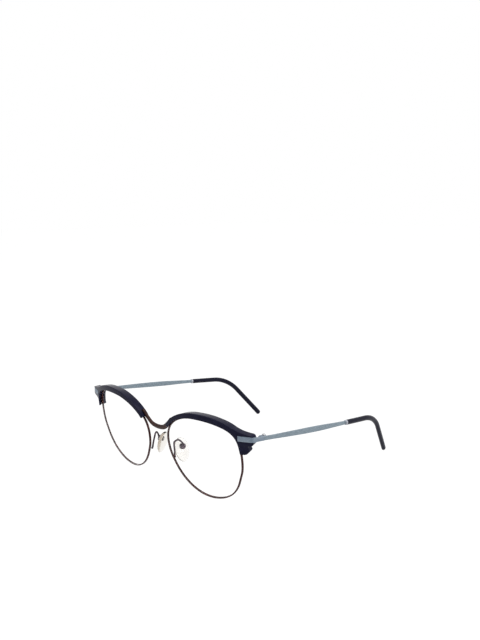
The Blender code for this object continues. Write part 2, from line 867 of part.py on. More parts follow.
def make_tip(side, name):
    course = temple_course()
    total = run_length(course)
    start = temple_to_sleeve + sleeve_front_gap
    bore_end = total - core_end_margin + bore_gap * 3
    sides = 12
    tall = core_height + bore_gap * 2
    wide = core_thickness + bore_gap * 2
    bore = [(a * wide, b * tall) for a, b in bore_shares]
    stations = [(d, bore) for d in np.linspace(bore_end, start, 14)]
    stations.append((start, oval(sleeve_thickness - sleeve_mouth_round,
                                 sleeve_height - sleeve_mouth_round, sides)))
    for d in np.linspace(start + sleeve_mouth_round, total - sleeve_height / 2, 17):
        share = (d - start) / (total - start)
        height = sleeve_height + (sleeve_tip_height - sleeve_height) * share
        stations.append((d, oval(sleeve_thickness, height, sides)))
    for angle in (35, 65):
        reach = math.sin(math.radians(angle))
        girth = math.cos(math.radians(angle))
        stations.append((total - sleeve_height / 2 * (1 - reach),
                         oval(sleeve_thickness * girth, sleeve_tip_height * girth, sides)))
    return add_object(name, carry(course, stations), side, SLEEVE, hinge_centre())


# Pads

def cup_centre():
    return Vector((lens_gap / 2 + cup_clear, cup_back, -cup_drop))


def pad_axes():
    """Nose-facing, downward and crosswise directions of the left pad."""
    face = Vector((-math.cos(pad_splay) * math.cos(pad_frontal),
                   math.sin(pad_splay) * math.cos(pad_frontal),
                   -math.sin(pad_frontal)))
    level = face.cross(Vector((0, 0, 1))).normalized()
    fall = face.cross(level)
    down = fall * math.cos(pad_lean) + level * math.sin(pad_lean)
    return face, down, level * math.cos(pad_lean) - fall * math.sin(pad_lean)


def arm_foot_share():
    """Place round the rim whose height is the pad arm's root."""
    shares = np.linspace(0.5, 0.65, 60)
    heights = np.array([front_point(*rim_point(s)).z for s in shares])
    return float(shares[int(np.argmin(np.abs(heights + arm_root_drop)))])


def make_pad_arm(side, name):
    face, down, _ = pad_axes()
    lift = wire_axial / 2 + seat_gap + arm_radius
    (u, v), _, (nu, nv) = rim_frame(arm_foot_share())
    foot = front_point(u + nu * arm_radius, v + nv * arm_radius, lift)
    leg = cup_centre() + Vector((-arm_leg_inset, -arm_leg_front, arm_leg_top))
    seat = cup_centre() - face * (cup_back_depth + seat_gap + arm_radius)
    landing = seat - down * cup_radius * 0.2
    top = leg.lerp(landing, 0.5)
    top.z = cup_centre().z + arm_loop_top
    shoulder = top.lerp(landing, 0.5) + (landing - leg) * 0.16
    low = foot.lerp(leg, 0.16) - Vector((arm_radius, 0, 0)) * 0.5
    turn = leg.lerp(top, 0.3)
    turn.z = leg.z + (top.z - leg.z) * 0.72
    points = smooth_run([foot, low, foot.lerp(leg, 0.5), leg, turn, top, shoulder, landing], 20)
    section = oval(arm_radius * 2, arm_radius * 2, wire_sides)
    return add_object(name, sweep(points, Vector((1, 0, 0)), section), side, PAD_METAL)


def make_pad_cup(side, name):
    face, down, across = pad_axes()
    base = cup_centre() - face * cup_back_depth
    chamfer = cup_back_depth * 0.25
    profile = [(0.0, cup_radius - chamfer), (chamfer, cup_radius),
               (cup_back_depth + cup_front_depth, cup_radius)]
    item = add_object(name, turned(base, face, profile), side, PAD_METAL)
    reach = cup_front_depth + tang_radius + tang_end_gap
    centre = cup_centre() + face * (cup_front_depth - reach / 2 + cut_overrun / 2)
    slot = block(centre, [across, down, face], [cup_slot_width, cup_radius * 3, reach + cut_overrun])
    cut(item, slot, side, "slot")
    hole = [(-cut_overrun * 2, pad_screw_radius + bore_clearance),
            (cut_overrun * 2, pad_screw_radius + bore_clearance)]
    cut(item, turned(cup_centre(), across, hole, wire_sides + 2), side, "hole")
    flat = cup_radius * 0.86
    trim = block(cup_centre() - across * (flat + cup_radius / 2), [across, down, face],
                 [cup_radius, cup_radius * 3, cup_radius * 4])
    cut(item, trim, side, "flat")
    return item


def make_pad_screw(side, name):
    _, _, across = pad_axes()
    base = cup_centre() - across * (cup_radius * 0.86 + seat_gap)
    length = cup_radius * 0.86 + seat_gap + cup_slot_width / 2 + cup_radius * 0.5
    item = add_object(name, turned(base, across, screw_profile(
        length, pad_screw_radius, pad_screw_head_radius, pad_screw_head_height), wire_sides + 2),
        side, SCREW_STEEL)
    cut(item, slot_cutter(base, across, pad_screw_head_radius, pad_screw_head_height), side, "slot")
    return item


def pad_outline(share_out):
    """Ring of the pad at one depth: a round-ended drop, a little narrower at its lower end."""
    ring = []
    for k in range(24):
        angle = math.tau * k / 24
        along_pad = -math.cos(angle) * pad_height / 2 * share_out
        fuller = 1 + pad_taper_share * math.cos(angle)
        ring.append((math.sin(angle) * pad_width / 2 * share_out * fuller, along_pad))
    return ring


def make_nose_pad(side, name):
    face, down, across = pad_axes()
    middle = cup_centre() + down * pad_drop
    rings = []
    for depth_share, out_share in pad_section_shares:
        depth = pad_back_depth + pad_thickness * depth_share
        rings.append([middle + face * depth + across * a + down * b for a, b in pad_outline(out_share)])
    item = add_object(name, loft(rings), side, PAD_SILICONE, cup_centre())
    tang_thickness = cup_slot_width - tang_side_gap * 2
    tang = [(-tang_thickness / 2, tang_radius), (tang_thickness / 2, tang_radius)]
    neck = block(cup_centre() + face * (pad_back_depth / 2 + pad_thickness * 0.1), [across, down, face],
                 [tang_thickness, tang_radius * 2, pad_back_depth + pad_thickness * 0.2])
    join(item, turned(cup_centre(), across, tang), side, "eye")
    join(item, neck, side, "neck")
    hole = [(-cut_overrun, pad_screw_radius + bore_clearance),
            (cut_overrun, pad_screw_radius + bore_clearance)]
    cut(item, turned(cup_centre(), across, hole, wire_sides + 2), side, "hole")
    return item


def shown_points(prefix=""):
    """World points of every shown object whose name starts with a prefix."""
    graph = bpy.context.evaluated_depsgraph_get()
    points = []
    for item in bpy.context.scene.objects:
        if item.type == "MESH" and not item.hide_render and item.name.startswith(prefix):
            shape = item.evaluated_get(graph)
            points += [shape.matrix_world @ vert.co for vert in shape.data.vertices]
    return points


def seat_on_floor():
    """Tip the part until its rims and its temple tips touch Z = 0, with its footprint centred."""
    rims, tips = shown_points("eyewire"), shown_points("temple_tip")
    tilt = 0.0
    for _ in range(4):
        turn = Matrix.Rotation(-tilt, 3, "X")
        rim = min((turn @ p for p in rims), key=lambda p: p.z)
        tip = min((turn @ p for p in tips), key=lambda p: p.z)
        tilt += math.atan2(tip.z - rim.z, tip.y - rim.y)
    ROOT.rotation_euler.x = -tilt
    bpy.context.view_layer.update()
    corners = shown_points()
    low = [min(p[k] for p in corners) for k in range(3)]
    high = [max(p[k] for p in corners) for k in range(3)]
    ROOT.location = (-(low[0] + high[0]) / 2, -(low[1] + high[1]) / 2, -low[2])
    bpy.context.view_layer.update()


WORLD_AXES = [Vector((1, 0, 0)), Vector((0, 1, 0)), Vector((0, 0, 1))]
ROOT = bpy.data.objects.new("spectacles", None)
bpy.context.collection.objects.link(ROOT)

ACETATE = material("navy_acetate", (0.012, 0.014, 0.045), 0.18, 0.0)
RIM_METAL = material("brown_metal", (0.090, 0.028, 0.024), 0.35, 0.8)
BLUE_METAL = material("blue_painted_metal", (0.23, 0.32, 0.37), 0.45, 0.1)
SLEEVE = material("navy_sleeve", (0.016, 0.019, 0.045), 0.42, 0.0)
PAD_METAL = material("pad_arm_metal", (0.13, 0.10, 0.10), 0.32, 0.85)
SCREW_STEEL = material("screw_steel", (0.35, 0.36, 0.38), 0.30, 1.0)
LENS = material("clear_lens", (0.95, 0.97, 0.97), 0.03, 0.0, 1.0)
PAD_SILICONE = material("clear_silicone", (0.92, 0.90, 0.84), 0.20, 0.0, 0.8)

make_bridge("bridge")
for hand, sign in (("left", 1), ("right", -1)):
    make_eyewire(sign, f"eyewire_{hand}")
    make_lens(sign, f"lens_{hand}")
    make_brow(sign, f"brow_{hand}")
    make_lock(sign, [f"rim_lock_upper_{hand}", f"rim_lock_lower_{hand}", f"rim_lock_screw_{hand}"])
    make_plate(sign, f"endpiece_plate_{hand}")
    make_plate_screw(sign, f"endpiece_screw_{hand}")
    make_hinge_screw(sign, f"hinge_screw_{hand}")
    make_temple(sign, f"temple_{hand}")
    make_tip(sign, f"temple_tip_{hand}")
    make_pad_arm(sign, f"pad_arm_{hand}")
    make_pad_cup(sign, f"pad_cup_{hand}")
    make_pad_screw(sign, f"pad_screw_{hand}")
    make_nose_pad(sign, f"nose_pad_{hand}")
seat_on_floor()
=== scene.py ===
"""Cat-eye spectacles on a white studio ground.

Metres. Shapes are made in a modelling frame with its origin between the lenses (x to
the wearer's left, y back, z up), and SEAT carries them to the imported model's frame.
The left half of each pair is modelled and the right half is its mirror image.
"""
import json
from math import acos, atan2, cos, exp, pi, radians, sin, tan, tau

import bmesh
import bpy
import numpy as np
from mathutils import Matrix, Vector
from numpy.linalg import norm


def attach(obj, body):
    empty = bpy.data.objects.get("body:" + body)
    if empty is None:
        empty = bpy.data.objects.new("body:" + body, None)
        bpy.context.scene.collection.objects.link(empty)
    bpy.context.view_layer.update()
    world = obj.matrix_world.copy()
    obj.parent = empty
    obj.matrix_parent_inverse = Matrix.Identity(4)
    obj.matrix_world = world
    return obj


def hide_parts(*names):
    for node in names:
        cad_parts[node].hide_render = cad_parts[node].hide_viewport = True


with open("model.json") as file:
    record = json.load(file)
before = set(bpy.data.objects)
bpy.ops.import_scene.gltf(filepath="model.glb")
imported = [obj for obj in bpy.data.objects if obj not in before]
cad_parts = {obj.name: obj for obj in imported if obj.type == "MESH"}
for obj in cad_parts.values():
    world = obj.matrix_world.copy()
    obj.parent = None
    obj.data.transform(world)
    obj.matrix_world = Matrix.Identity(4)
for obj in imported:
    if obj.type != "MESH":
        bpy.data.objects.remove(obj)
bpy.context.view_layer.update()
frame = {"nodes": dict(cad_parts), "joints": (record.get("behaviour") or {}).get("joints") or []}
scene = bpy.context.scene
MM = 0.001

# Front
lens_width = 53.0 * MM
lens_height = 44.7 * MM
lens_gap = 17.14 * MM
front_radius = 141.0 * MM
wrap_angle = radians(5.3)
tilt_angle = radians(10.2)
lens_centre_out = (lens_gap + lens_width) / 2

# Eyewire and lens
wire_radial = 0.75 * MM
wire_axial = 1.15 * MM
wire_round = 0.26 * MM
groove_depth = 0.32 * MM
groove_width = 0.70 * MM
lens_thickness = 1.6 * MM
lens_edge_gap = 0.10 * MM
lens_edge_round = 0.12 * MM
lens_ease_share = 0.3
bevel_gap = 0.08 * MM
lock_share = 0.066
lock_split = 0.30 * MM

# Brow
brow_front = 2.4 * MM
brow_rear = 2.5 * MM
brow_height = 3.00 * MM
brow_top_drop = 0.95 * MM
brow_round = 0.42 * MM
brow_lip_round = 0.22 * MM
lip_gap = 0.22 * MM
lip_gap_outer = 0.85 * MM
channel_side_gap = 0.20 * MM
channel_depth = 0.48 * MM
wing_top_drop = 0.65 * MM
brow_nasal_share = 0.430
wing_start_share = 0.124
brow_bottom_share = 0.047

# Bridge
bridge_height = 2.70 * MM
bridge_depth = 1.7 * MM
bridge_sink = 4.60 * MM
bridge_forward = 0.9 * MM
bridge_end_forward = 1.30 * MM
bridge_foot_back = 0.60 * MM
bridge_foot_share = 0.408
bridge_way_shares = (0.0, 0.27, 0.54, 0.82)
bridge_end_drop_share = 0.33
bridge_quartic_share = 0.4
bridge_end_round = bridge_height / 6

# Endpiece plate
plate_height = 2.60 * MM
plate_thickness = 0.9 * MM
plate_proud = 0.10 * MM
plate_reach = 8.25 * MM
plate_rise = 0.08 * MM
plate_front_share = 1.004
plate_front_up_share = 0.703
plate_corner_radius = 1.60 * MM
plate_side_depth = 2.80 * MM
plate_side_drop = 0.55 * MM
plate_side_taper = 0.5 * MM
plate_neck_height = 2.10 * MM
plate_fall_start = -0.08
plate_fall_share = 0.24
plate_screw_inset = 3.4 * MM
plate_screw_bite = 0.45 * MM
plate_edge = 0.16 * MM

# Hinge
hinge_from_corner = (-3.1 * MM, 10.69 * MM, -1.20 * MM)
knuckle_radius = 1.08 * MM
knuckle_height = 0.50 * MM
knuckle_gap = 0.08 * MM

# Temple and tip
hinge_side_gap = 0.17 * MM
hinge_turn_gap = 0.41 * MM
butt_gap = 0.10 * MM
temple_inward = radians(2.667)
temple_slope = radians(5.232)
temple_to_bend = 96.71 * MM
temple_leg = 37.25 * MM
leg_drop = radians(48.1)
leg_inward = radians(21.4)
bend_tangent = 11.23 * MM
temple_bow = 1.54 * MM
temple_to_sleeve = 66.95 * MM
temple_thickness = 1.0 * MM
temple_height_hinge = 2.10 * MM
temple_height_middle = 2.98 * MM
temple_height_sleeve = 1.85 * MM
temple_edge = 0.22 * MM
sleeve_height = 2.9 * MM
sleeve_thickness = 2.65 * MM
sleeve_tip_height = 3.2 * MM
sleeve_front_gap = 0.10 * MM
collar_length = 1.3 * MM
temple_offset = knuckle_radius + hinge_side_gap + temple_thickness / 2

# Pads
cup_clear = 1.0 * MM
cup_back = 8.1 * MM
cup_drop = 1.9 * MM
pad_splay = radians(15)
pad_frontal = radians(16)
pad_lean = radians(7)
cup_radius = 1.7 * MM
cup_front_depth = 0.50 * MM
cup_back_depth = 1.15 * MM
arm_radius = 0.50 * MM
arm_root_drop = 6.70 * MM
arm_leg = (-0.9 * MM, -5.0 * MM, 2.6 * MM)
arm_loop_top = 4.20 * MM
arm_low_share = 0.16
arm_turn_share = 0.3
arm_turn_rise_share = 0.72
arm_shoulder_share = 0.16
arm_landing_share = 0.2
pad_height = 13.5 * MM
pad_width = 8.4 * MM
pad_thickness = 1.7 * MM
pad_drop = 1.9 * MM
pad_back_depth = 0.88 * MM
pad_taper_share = 0.06
seat_gap = 0.08 * MM

# Rim centreline: out and up, in halves of the lens width and height
rim_shares = [
    (0.983, 0), (0.991, 0.157), (0.989, 0.313), (0.980, 0.461), (0.955, 0.591),
    (0.906, 0.698), (0.826, 0.787), (0.713, 0.848), (0.585, 0.890), (0.415, 0.926),
    (0.226, 0.946), (0.038, 0.949), (-0.155, 0.937), (-0.340, 0.896), (-0.494, 0.840),
    (-0.642, 0.763), (-0.777, 0.660), (-0.864, 0.565), (-0.940, 0.437), (-0.983, 0.293),
    (-0.998, 0.145), (-0.990, 0), (-0.963, -0.148), (-0.912, -0.290), (-0.791, -0.541),
    (-0.634, -0.752), (-0.443, -0.910), (-0.228, -1.007), (0, -1.039), (0.228, -1.010),
    (0.451, -0.925), (0.653, -0.774), (0.808, -0.553), (0.911, -0.289), (0.959, -0.143),
]
# Wing: place along it, its edge out and up, and its front and rear depth
wing_shares = [
    (0.00, 1.080, 0.308, 0.55, 1.25), (0.12, 1.134, 0.328, 0.50, 1.25),
    (0.24, 1.184, 0.386, 0.50, 1.08), (0.34, 1.188, 0.458, 0.58, 0.90),
    (0.43, 1.198, 0.524, 0.76, 0.76), (0.51, 1.290, 0.564, 0.92, 0.66),
    (0.59, 1.315, 0.630, 1.00, 0.60), (0.67, 1.320, 0.716, 1.00, 0.56),
    (0.75, 1.293, 0.784, 1.00, 0.52), (0.83, 1.195, 0.806, 1.00, 0.52),
    (0.91, 1.057, 0.841, 1.00, 0.60), (1.00, 0.936, 0.893, 1.00, 0.77),
]
arch_height_shares = [0.96, 1.01, 1.04, 1.02, 0.97, 0.88, 0.76, 0.64]
temple_height_shares = [(0.00, 0.00), (0.10, 0.05), (0.30, 0.60), (0.50, 1.00)]
sleeve_height_shares = [(0.50, 1.00), (0.66, 0.92), (0.85, 0.35), (1.00, 0.00)]
# Collar: place along it and size
collar_shares = [
    (0.00, 0.72), (0.10, 0.90), (0.28, 0.99), (0.75, 1.00), (0.93, 0.95), (1.00, 0.86),
]
# Pad: depth and size
pad_section_shares = [
    (0.00, 0.84), (0.10, 0.95), (0.30, 1.00), (0.55, 0.97), (0.82, 0.80), (0.97, 0.48),
]

# Facets
tangent_share = 0.004
rim_points = 720
rim_stations = 288
arch_stations = 110
arch_substeps = 8
wing_substeps = 6
lens_ring_shares = [0.12, 0.3, 0.5, 0.7, 0.88, 1.0]
bridge_stations = 49
notch_stations = 13
plate_front_stations = 12
plate_turn_stations = 13
knuckle_stations = 25
course_stations = (61, 41, 21)
temple_stations = 90
core_stations = 70
sleeve_stations = 130
arm_stations = 90
turned_sides = 40
sleeve_sides = 36
wire_sides = 20
pad_sides = 72
smooth_angle = radians(38)
bevel_angle = radians(40)
bevel_segments = 3

# Screws: shank radius, head radius and head height
plate_screw = (0.55 * MM, 1.0 * MM, 0.45 * MM)
hinge_screw = (0.50 * MM, 0.85 * MM, 0.55 * MM)
lock_screw = (0.45 * MM, 0.72 * MM, 0.45 * MM)
pad_screw = (0.36 * MM, 0.60 * MM, 0.30 * MM)
screw_tip_share = 0.6
driver_slot_share = 0.28
driver_slot_depth_share = 0.9
dome_share = 0.35

# Small edges and clearances
wire_edge = 0.10 * MM
lip_edge = 0.09 * MM
brow_end_round = 0.34 * MM
mouth_round = 0.30 * MM
leaf_step = 0.10 * MM
hinge_leaf_length = 1.60 * MM
hinge_leaf_height = 1.10 * MM
lock_height = 1.3 * MM
lock_reach = 1.7 * MM
lock_width = 1.6 * MM
lock_pocket_gap = 0.20 * MM
lock_pocket_low = lock_height * 6
lock_edge = 0.12 * MM
core_height = 1.2 * MM
core_thickness = 0.8 * MM
core_end_margin = 8.0 * MM
cup_slot_width = 1.1 * MM
tang_side_gap = 0.12 * MM
tang_end_gap = 0.13 * MM
tang_radius = 0.72 * MM
pad_screw_bite_share = 0.5
cup_flat_share = 0.86
cup_chamfer_share = 0.25
tang_sink_share = 0.2
bore_clearance = 0.06 * MM
paint_gap = 0.10 * MM
cut_overrun = 2.0 * MM
solder_share = 0.25
solder_stations = 4

# Looks
acetate_gloss = 0.07
sleeve_gloss = 0.10
paint_edge_share = 0.05
silicone_colour = (0.98, 0.975, 0.965)
silicone_pale = (0.997, 0.997, 0.996)
silicone_depth_colour = (0.760, 0.715, 0.650)
silicone_depth = 290.0
# Grey painted shade at the edges of the silicone pads.
silicone_edge_painted_shade = (0.48, 0.48, 0.50)

# Light and view. The camera's place is in the modelling frame, in metres.
ground_size = 6.0
ground_drop = 0.05 * MM
ground_white_share = 0.90
ground_white = 1.06
world_light = 0.55
view_azimuth = radians(46.520)
view_elevation = radians(8.923)
view_lens = 41.92
view_sensor = 36
view_spot = (0.31538, -0.23854, 0.12927)
lamps = [
    ("top_box", (0.05, -0.05, 0.75), (0.9, 0.7), 5.0),
    ("side_box", (0.75, 0.15, 0.35), (0.6, 0.5), 3.0),
    ("front_box", (-0.45, -0.75, 0.45), (0.5, 0.5), 1.5),
]


# Curves and sections

OUT, BACK, UP = Vector((1, 0, 0)), Vector((0, 1, 0)), Vector((0, 0, 1))
LENS_CENTRE = OUT * lens_centre_out


def smooth_rows(rows, steps, closed=False):
    """Rows of numbers on smooth curves through the given ones, with more rows between them."""
    rows = [np.array(row, float) for row in rows]
    if closed:
        ends = [rows[-1]] + rows + rows[:2]
    else:
        ends = [rows[0] * 2 - rows[1]] + rows + [rows[-1] * 2 - rows[-2]]
    fine = []
    for a, b, c, d in zip(ends, ends[1:], ends[2:], ends[3:]):
        for k in range(steps):
            t = k / steps
            fine.append(0.5 * (2 * b + (c - a) * t + (2 * a - 5 * b + 4 * c - d) * t ** 2
                               + (3 * b - a - 3 * c + d) * t ** 3))
    return fine if closed else fine + [rows[-1]]


def closed_curve(points, count):
    """Points evenly spaced along a smooth closed curve, with its last unevenness averaged out."""
    fine = np.array(smooth_rows(points, 24, closed=True))
    fine = np.vstack([fine, fine[:1]])
    length = np.concatenate([[0], np.cumsum(norm(np.diff(fine, axis=0), axis=1))])
    wanted = np.linspace(0, length[-1], count, endpoint=False)
    curve = np.stack([np.interp(wanted, length, fine[:, k]) for k in range(2)], 1)
    for _ in range(3):
        curve = sum(np.roll(curve, shift, axis=0) for shift in range(-3, 4)) / 7
    return curve


RIM_FINE = closed_curve([(u * lens_width / 2, v * lens_height / 2) for u, v in rim_shares],
                        rim_points)


def rim_point(share):
    spot = (share % 1.0) * rim_points
    i, t = int(spot) % rim_points, spot % 1.0
    return RIM_FINE[i] * (1 - t) + RIM_FINE[(i + 1) % rim_points] * t


def rim_frame(share):
    """Point, tangent and outward normal of the rim centreline."""
    tangent = rim_point(share + tangent_share) - rim_point(share - tangent_share)
    tangent = tangent / norm(tangent)
    return rim_point(share), tangent, np.array([tangent[1], -tangent[0]])


def beside_rim(share, distance):
    """Out and up of a place outwards from the rim centreline."""
    (u, v), _, (nu, nv) = rim_frame(share)
    return u + nu * distance, v + nv * distance


def sag(u, v):
    """How far the lens surface lies behind its centre at a point."""
    return (u * u + v * v) / (2 * front_radius)


def turn_front(u, v, w):
    """Direction in the lens frame (out, up, back) turned by the wrap and the tilt."""
    x = u * cos(wrap_angle) - w * sin(wrap_angle)
    y = u * sin(wrap_angle) + w * cos(wrap_angle)
    return Vector((x,
                   y * cos(tilt_angle) - v * sin(tilt_angle),
                   y * sin(tilt_angle) + v * cos(tilt_angle)))


def front_point(u, v, offset=0.0):
    """Point on the lens surface, or at an offset behind it."""
    return turn_front(u, v, sag(u, v) + offset) + LENS_CENTRE


def along(points, distance):
    """Point at a distance along a run of points."""
    left = distance
    for a, b in zip(points, points[1:]):
        step = (b - a).length
        if left <= step:
            return a.lerp(b, left / step)
        left -= step
    return points[-1].copy()


def run_length(points):
    return sum((b - a).length for a, b in zip(points, points[1:]))


def smooth_run(points, count):
    """Evenly spaced points on a smooth open curve through the given ones."""
    fine = [Vector(row) for row in smooth_rows(points, 12)]
    total = run_length(fine)
    return [along(fine, total * k / (count - 1)) for k in range(count)]


def frames(points, reference):
    """Side and rise directions square to a run of points."""
    result = []
    for i, point in enumerate(points):
        tangent = (points[min(i + 1, len(points) - 1)] - points[max(i - 1, 0)]).normalized()
        side = tangent.cross(reference).normalized()
        result.append((point, side, side.cross(tangent).normalized()))
    return result


def rounded(corners, legs, steps=5):
    """Outline with each corner replaced by a curve that starts one leg before it."""
    corners = [np.array(corner, float) for corner in corners]
    outline = []
    for i, (corner, leg) in enumerate(zip(corners, legs)):
        if not leg:
            outline.append(corner)
            continue
        before = corners[i - 1] - corner
        after = corners[(i + 1) % len(corners)] - corner
        start = corner + before * leg / norm(before)
        end = corner + after * leg / norm(after)
        outline += [start * (1 - t) ** 2 + corner * 2 * t * (1 - t) + end * t ** 2
                    for t in np.linspace(0, 1, steps + 1)]
    return outline


def soft_box(width, height, leg):
    """Box section with rounded corners."""
    a, b = width / 2, height / 2
    return rounded([(-a, -b), (a, -b), (a, b), (-a, b)], [leg] * 4, 4)


def oval(width, height, angles):
    """Oval section with a point at each angle, or with so many points."""
    if isinstance(angles, int):
        angles = [tau * k / angles for k in range(angles)]
    return [(width / 2 * cos(t), height / 2 * sin(t)) for t in angles]


def quarter_round(radius, steps):
    """Inset and advance along a quarter circle that leads from a face into its side."""
    return [(radius * (1 - cos(t)), radius * (1 - sin(t)))
            for t in np.linspace(pi / 2, 0, steps + 1)]


def heading(turn, fall):
    """Direction that points back, turned inwards and down."""
    return Vector((-sin(turn) * cos(fall), cos(turn) * cos(fall), -sin(fall)))


# Mesh making

def loft(rings, capped=True):
    """One skin over a row of equal rings."""
    bm = bmesh.new()
    rows = [[bm.verts.new(tuple(p)) for p in ring] for ring in rings]
    for low, high in zip(rows, rows[1:]):
        for k in range(len(low)):
            j = (k + 1) % len(low)
            bm.faces.new((low[k], low[j], high[j], high[k]))
    if capped:
        bm.faces.new(rows[0])
        bm.faces.new(rows[-1])
    bmesh.ops.recalc_face_normals(bm, faces=bm.faces)
    return bm


def rounded_ends(rings, radius):
    """Rings whose first and last faces run into the sides on a small radius."""
    rings = [np.array([tuple(p) for p in ring]) for ring in rings]
    for _ in range(2):
        first, centre = rings[0], rings[0].mean(axis=0)
        kept = [ring for ring in rings[1:] if norm(ring.mean(axis=0) - centre) > radius]
        way = kept[0].mean(axis=0) - centre
        way = way / norm(way)
        inward = centre - first
        inward = inward / norm(inward, axis=1)[:, None]
        caps = [first + inward * inset + way * advance
                for inset, advance in quarter_round(radius, 5)]
        rings = (caps + kept)[::-1]
    return rings


def sweep(points, reference, sections, radius=0.0):
    """Skin over sections carried along a run; radius rounds its two ends."""
    rings = []
    for i, (point, side, rise) in enumerate(frames(points, reference)):
        section = sections(i) if callable(sections) else sections
        rings.append([point + side * a + rise * b for a, b in section])
    return loft(rounded_ends(rings, radius) if radius else rings)


def carry(course, stations):
    """Skin over (distance along a course, section) pairs."""
    rings = []
    reach = run_length(course)
    for distance, section in stations:
        before = along(course, max(distance - sleeve_height / 2, 0))
        tangent = (along(course, min(distance + sleeve_height / 2, reach)) - before).normalized()
        side = tangent.cross(UP).normalized()
        rise = side.cross(tangent)
        spot = along(course, distance)
        rings.append([spot + side * a + rise * b for a, b in section])
    return loft(rings)


def turned(base, axis, profile):
    """Round piece from (distance along the axis, radius) pairs."""
    axis = axis.normalized()
    side = axis.orthogonal().normalized()
    rise = axis.cross(side)
    circle = oval(2, 2, turned_sides)
    return loft([[base + axis * away + (side * a + rise * b) * radius for a, b in circle]
                 for away, radius in profile])


def bore(centre, axis, radius, reach=cut_overrun):
    """Cutter for a hole that clears its screw."""
    radius += bore_clearance
    return turned(centre, axis, [(-reach, radius), (reach, radius)])


def block(centre, axes, sizes):
    """Box from its centre, three square directions and three sizes."""
    x, y, z = [axis.normalized() * size / 2 for axis, size in zip(axes, sizes)]
    low = [centre - x - y - z, centre + x - y - z, centre + x + y - z, centre - x + y - z]
    return loft([low, [p + z * 2 for p in low]])


def new_mesh(name, bm):
    mesh = bpy.data.meshes.new(name)
    bm.to_mesh(mesh)
    return mesh


def new_object(name, data):
    item = bpy.data.objects.new(name, data)
    scene.collection.objects.link(item)
    return item


def shaped(bm, steps, edge=0.0):
    """A shape with others joined to it or cut from it, and then its sharp edges eased."""
    made = []
    for source in [bm] + [other for _, other in steps]:
        made.append(new_object("shape", new_mesh("shape", source)))
        source.free()
    for (operation, _), helper in zip(steps, made[1:]):
        step = made[0].modifiers.new("step", "BOOLEAN")
        step.operation = operation
        step.solver = "EXACT"
        step.object = helper
    if edge:
        ease = made[0].modifiers.new("edge", "BEVEL")
        ease.width = edge
        ease.segments = bevel_segments
        ease.limit_method = "ANGLE"
        ease.angle_limit = bevel_angle
    graph = bpy.context.evaluated_depsgraph_get()
    result = bpy.data.meshes.new_from_object(made[0].evaluated_get(graph))
    for item in made:
        bpy.data.objects.remove(item, do_unlink=True)
    out = bmesh.new()
    out.from_mesh(result)
    return out


def seat():
    """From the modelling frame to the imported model's frame, read from the left hinge."""
    joint = next(j for j in frame["joints"] if j["name"] == "temple_hinge_left")
    turn = Matrix.Rotation(-atan2(joint["axis"][1], joint["axis"][2]), 4, "X")
    return Matrix.Translation(Vector(joint["pos_m"]) - turn @ hinge_centre()) @ turn


def place(bm, name, mat, body, nodes_replaced, mirrored=False):
    mesh = new_mesh(name, bm)
    if mirrored:
        mesh.transform(Matrix.Scale(-1, 4, OUT))
        mesh.flip_normals()
    mesh.transform(SEAT)
    mesh.materials.clear()
    mesh.materials.append(mat)
    mesh.shade_smooth()
    mesh.set_sharp_from_angle(angle=smooth_angle)
    item = new_object(name, mesh)
    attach(item, body)
    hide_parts(*nodes_replaced)


def place_pair(bm, name, mat, body, node):
    """The left piece and its mirror image. Names take the side's word at their end."""
    for side in ("left", "right"):
        on = body if body == "front" else f"{body}_{side}"
        place(bm, f"{name}_{side}", mat, on, [f"{node}_{side}"], side == "right")
    bm.free()


# Eyewire and lens

def rim_ring(share, section):
    """Section set square to the rim at one place: (outward, backward) pairs."""
    (u, v), _, (nu, nv) = rim_frame(share)
    base = sag(u, v)
    return [turn_front(u + nu * r, v + nv * r, base + w) + LENS_CENTRE for r, w in section]


def make_eyewire():
    a, b, g = wire_radial / 2, wire_axial / 2, groove_width / 2
    corners = [(-a, -b), (a, -b), (a, b), (-a, b), (-a, g), (-a + groove_depth, 0.0), (-a, -g)]
    section = rounded(corners, [wire_edge, wire_round, wire_round, wire_edge, 0, 0, 0])
    perimeter = norm(RIM_FINE - np.roll(RIM_FINE, 1, axis=0), axis=1).sum()
    gap = lock_split / 2 / perimeter
    shares = np.linspace(lock_share + gap, 1 + lock_share - gap, rim_stations + 1)
    return loft([rim_ring(share, section) for share in shares])


def make_lens():
    edge = -wire_radial / 2 - lens_edge_gap
    tip = -wire_radial / 2 + groove_depth - bevel_gap
    half, foot, ease = lens_thickness / 2, groove_width / 2, lens_edge_round
    part = ease * lens_ease_share
    shares = np.linspace(0, 1, rim_stations, endpoint=False)

    def ring(inset, depth, fraction=1.0):
        row = [beside_rim(share, inset) for share in shares]
        return [front_point(u * fraction, v * fraction, depth) for u, v in row]

    rows = [ring(edge - ease, -half, f) for f in lens_ring_shares]
    rows += [ring(edge - part, -half + part), ring(edge, -half + ease)]
    rows += [ring(edge, -foot), ring(tip, 0.0), ring(edge, foot)]
    rows += [ring(edge, half - ease), ring(edge - part, half - part)]
    rows += [ring(edge - ease, half, f) for f in reversed(lens_ring_shares)]
    bm = loft(rows, capped=False)
    for row, depth in ((0, -half), (len(rows) - 1, half)):
        hub = bm.verts.new(front_point(0, 0, depth))
        bm.verts.ensure_lookup_table()
        first = row * rim_stations
        for k in range(rim_stations):
            bm.faces.new((bm.verts[first + k], bm.verts[first + (k + 1) % rim_stations], hub))
    bmesh.ops.recalc_face_normals(bm, faces=bm.faces)
    return bm


# Brow

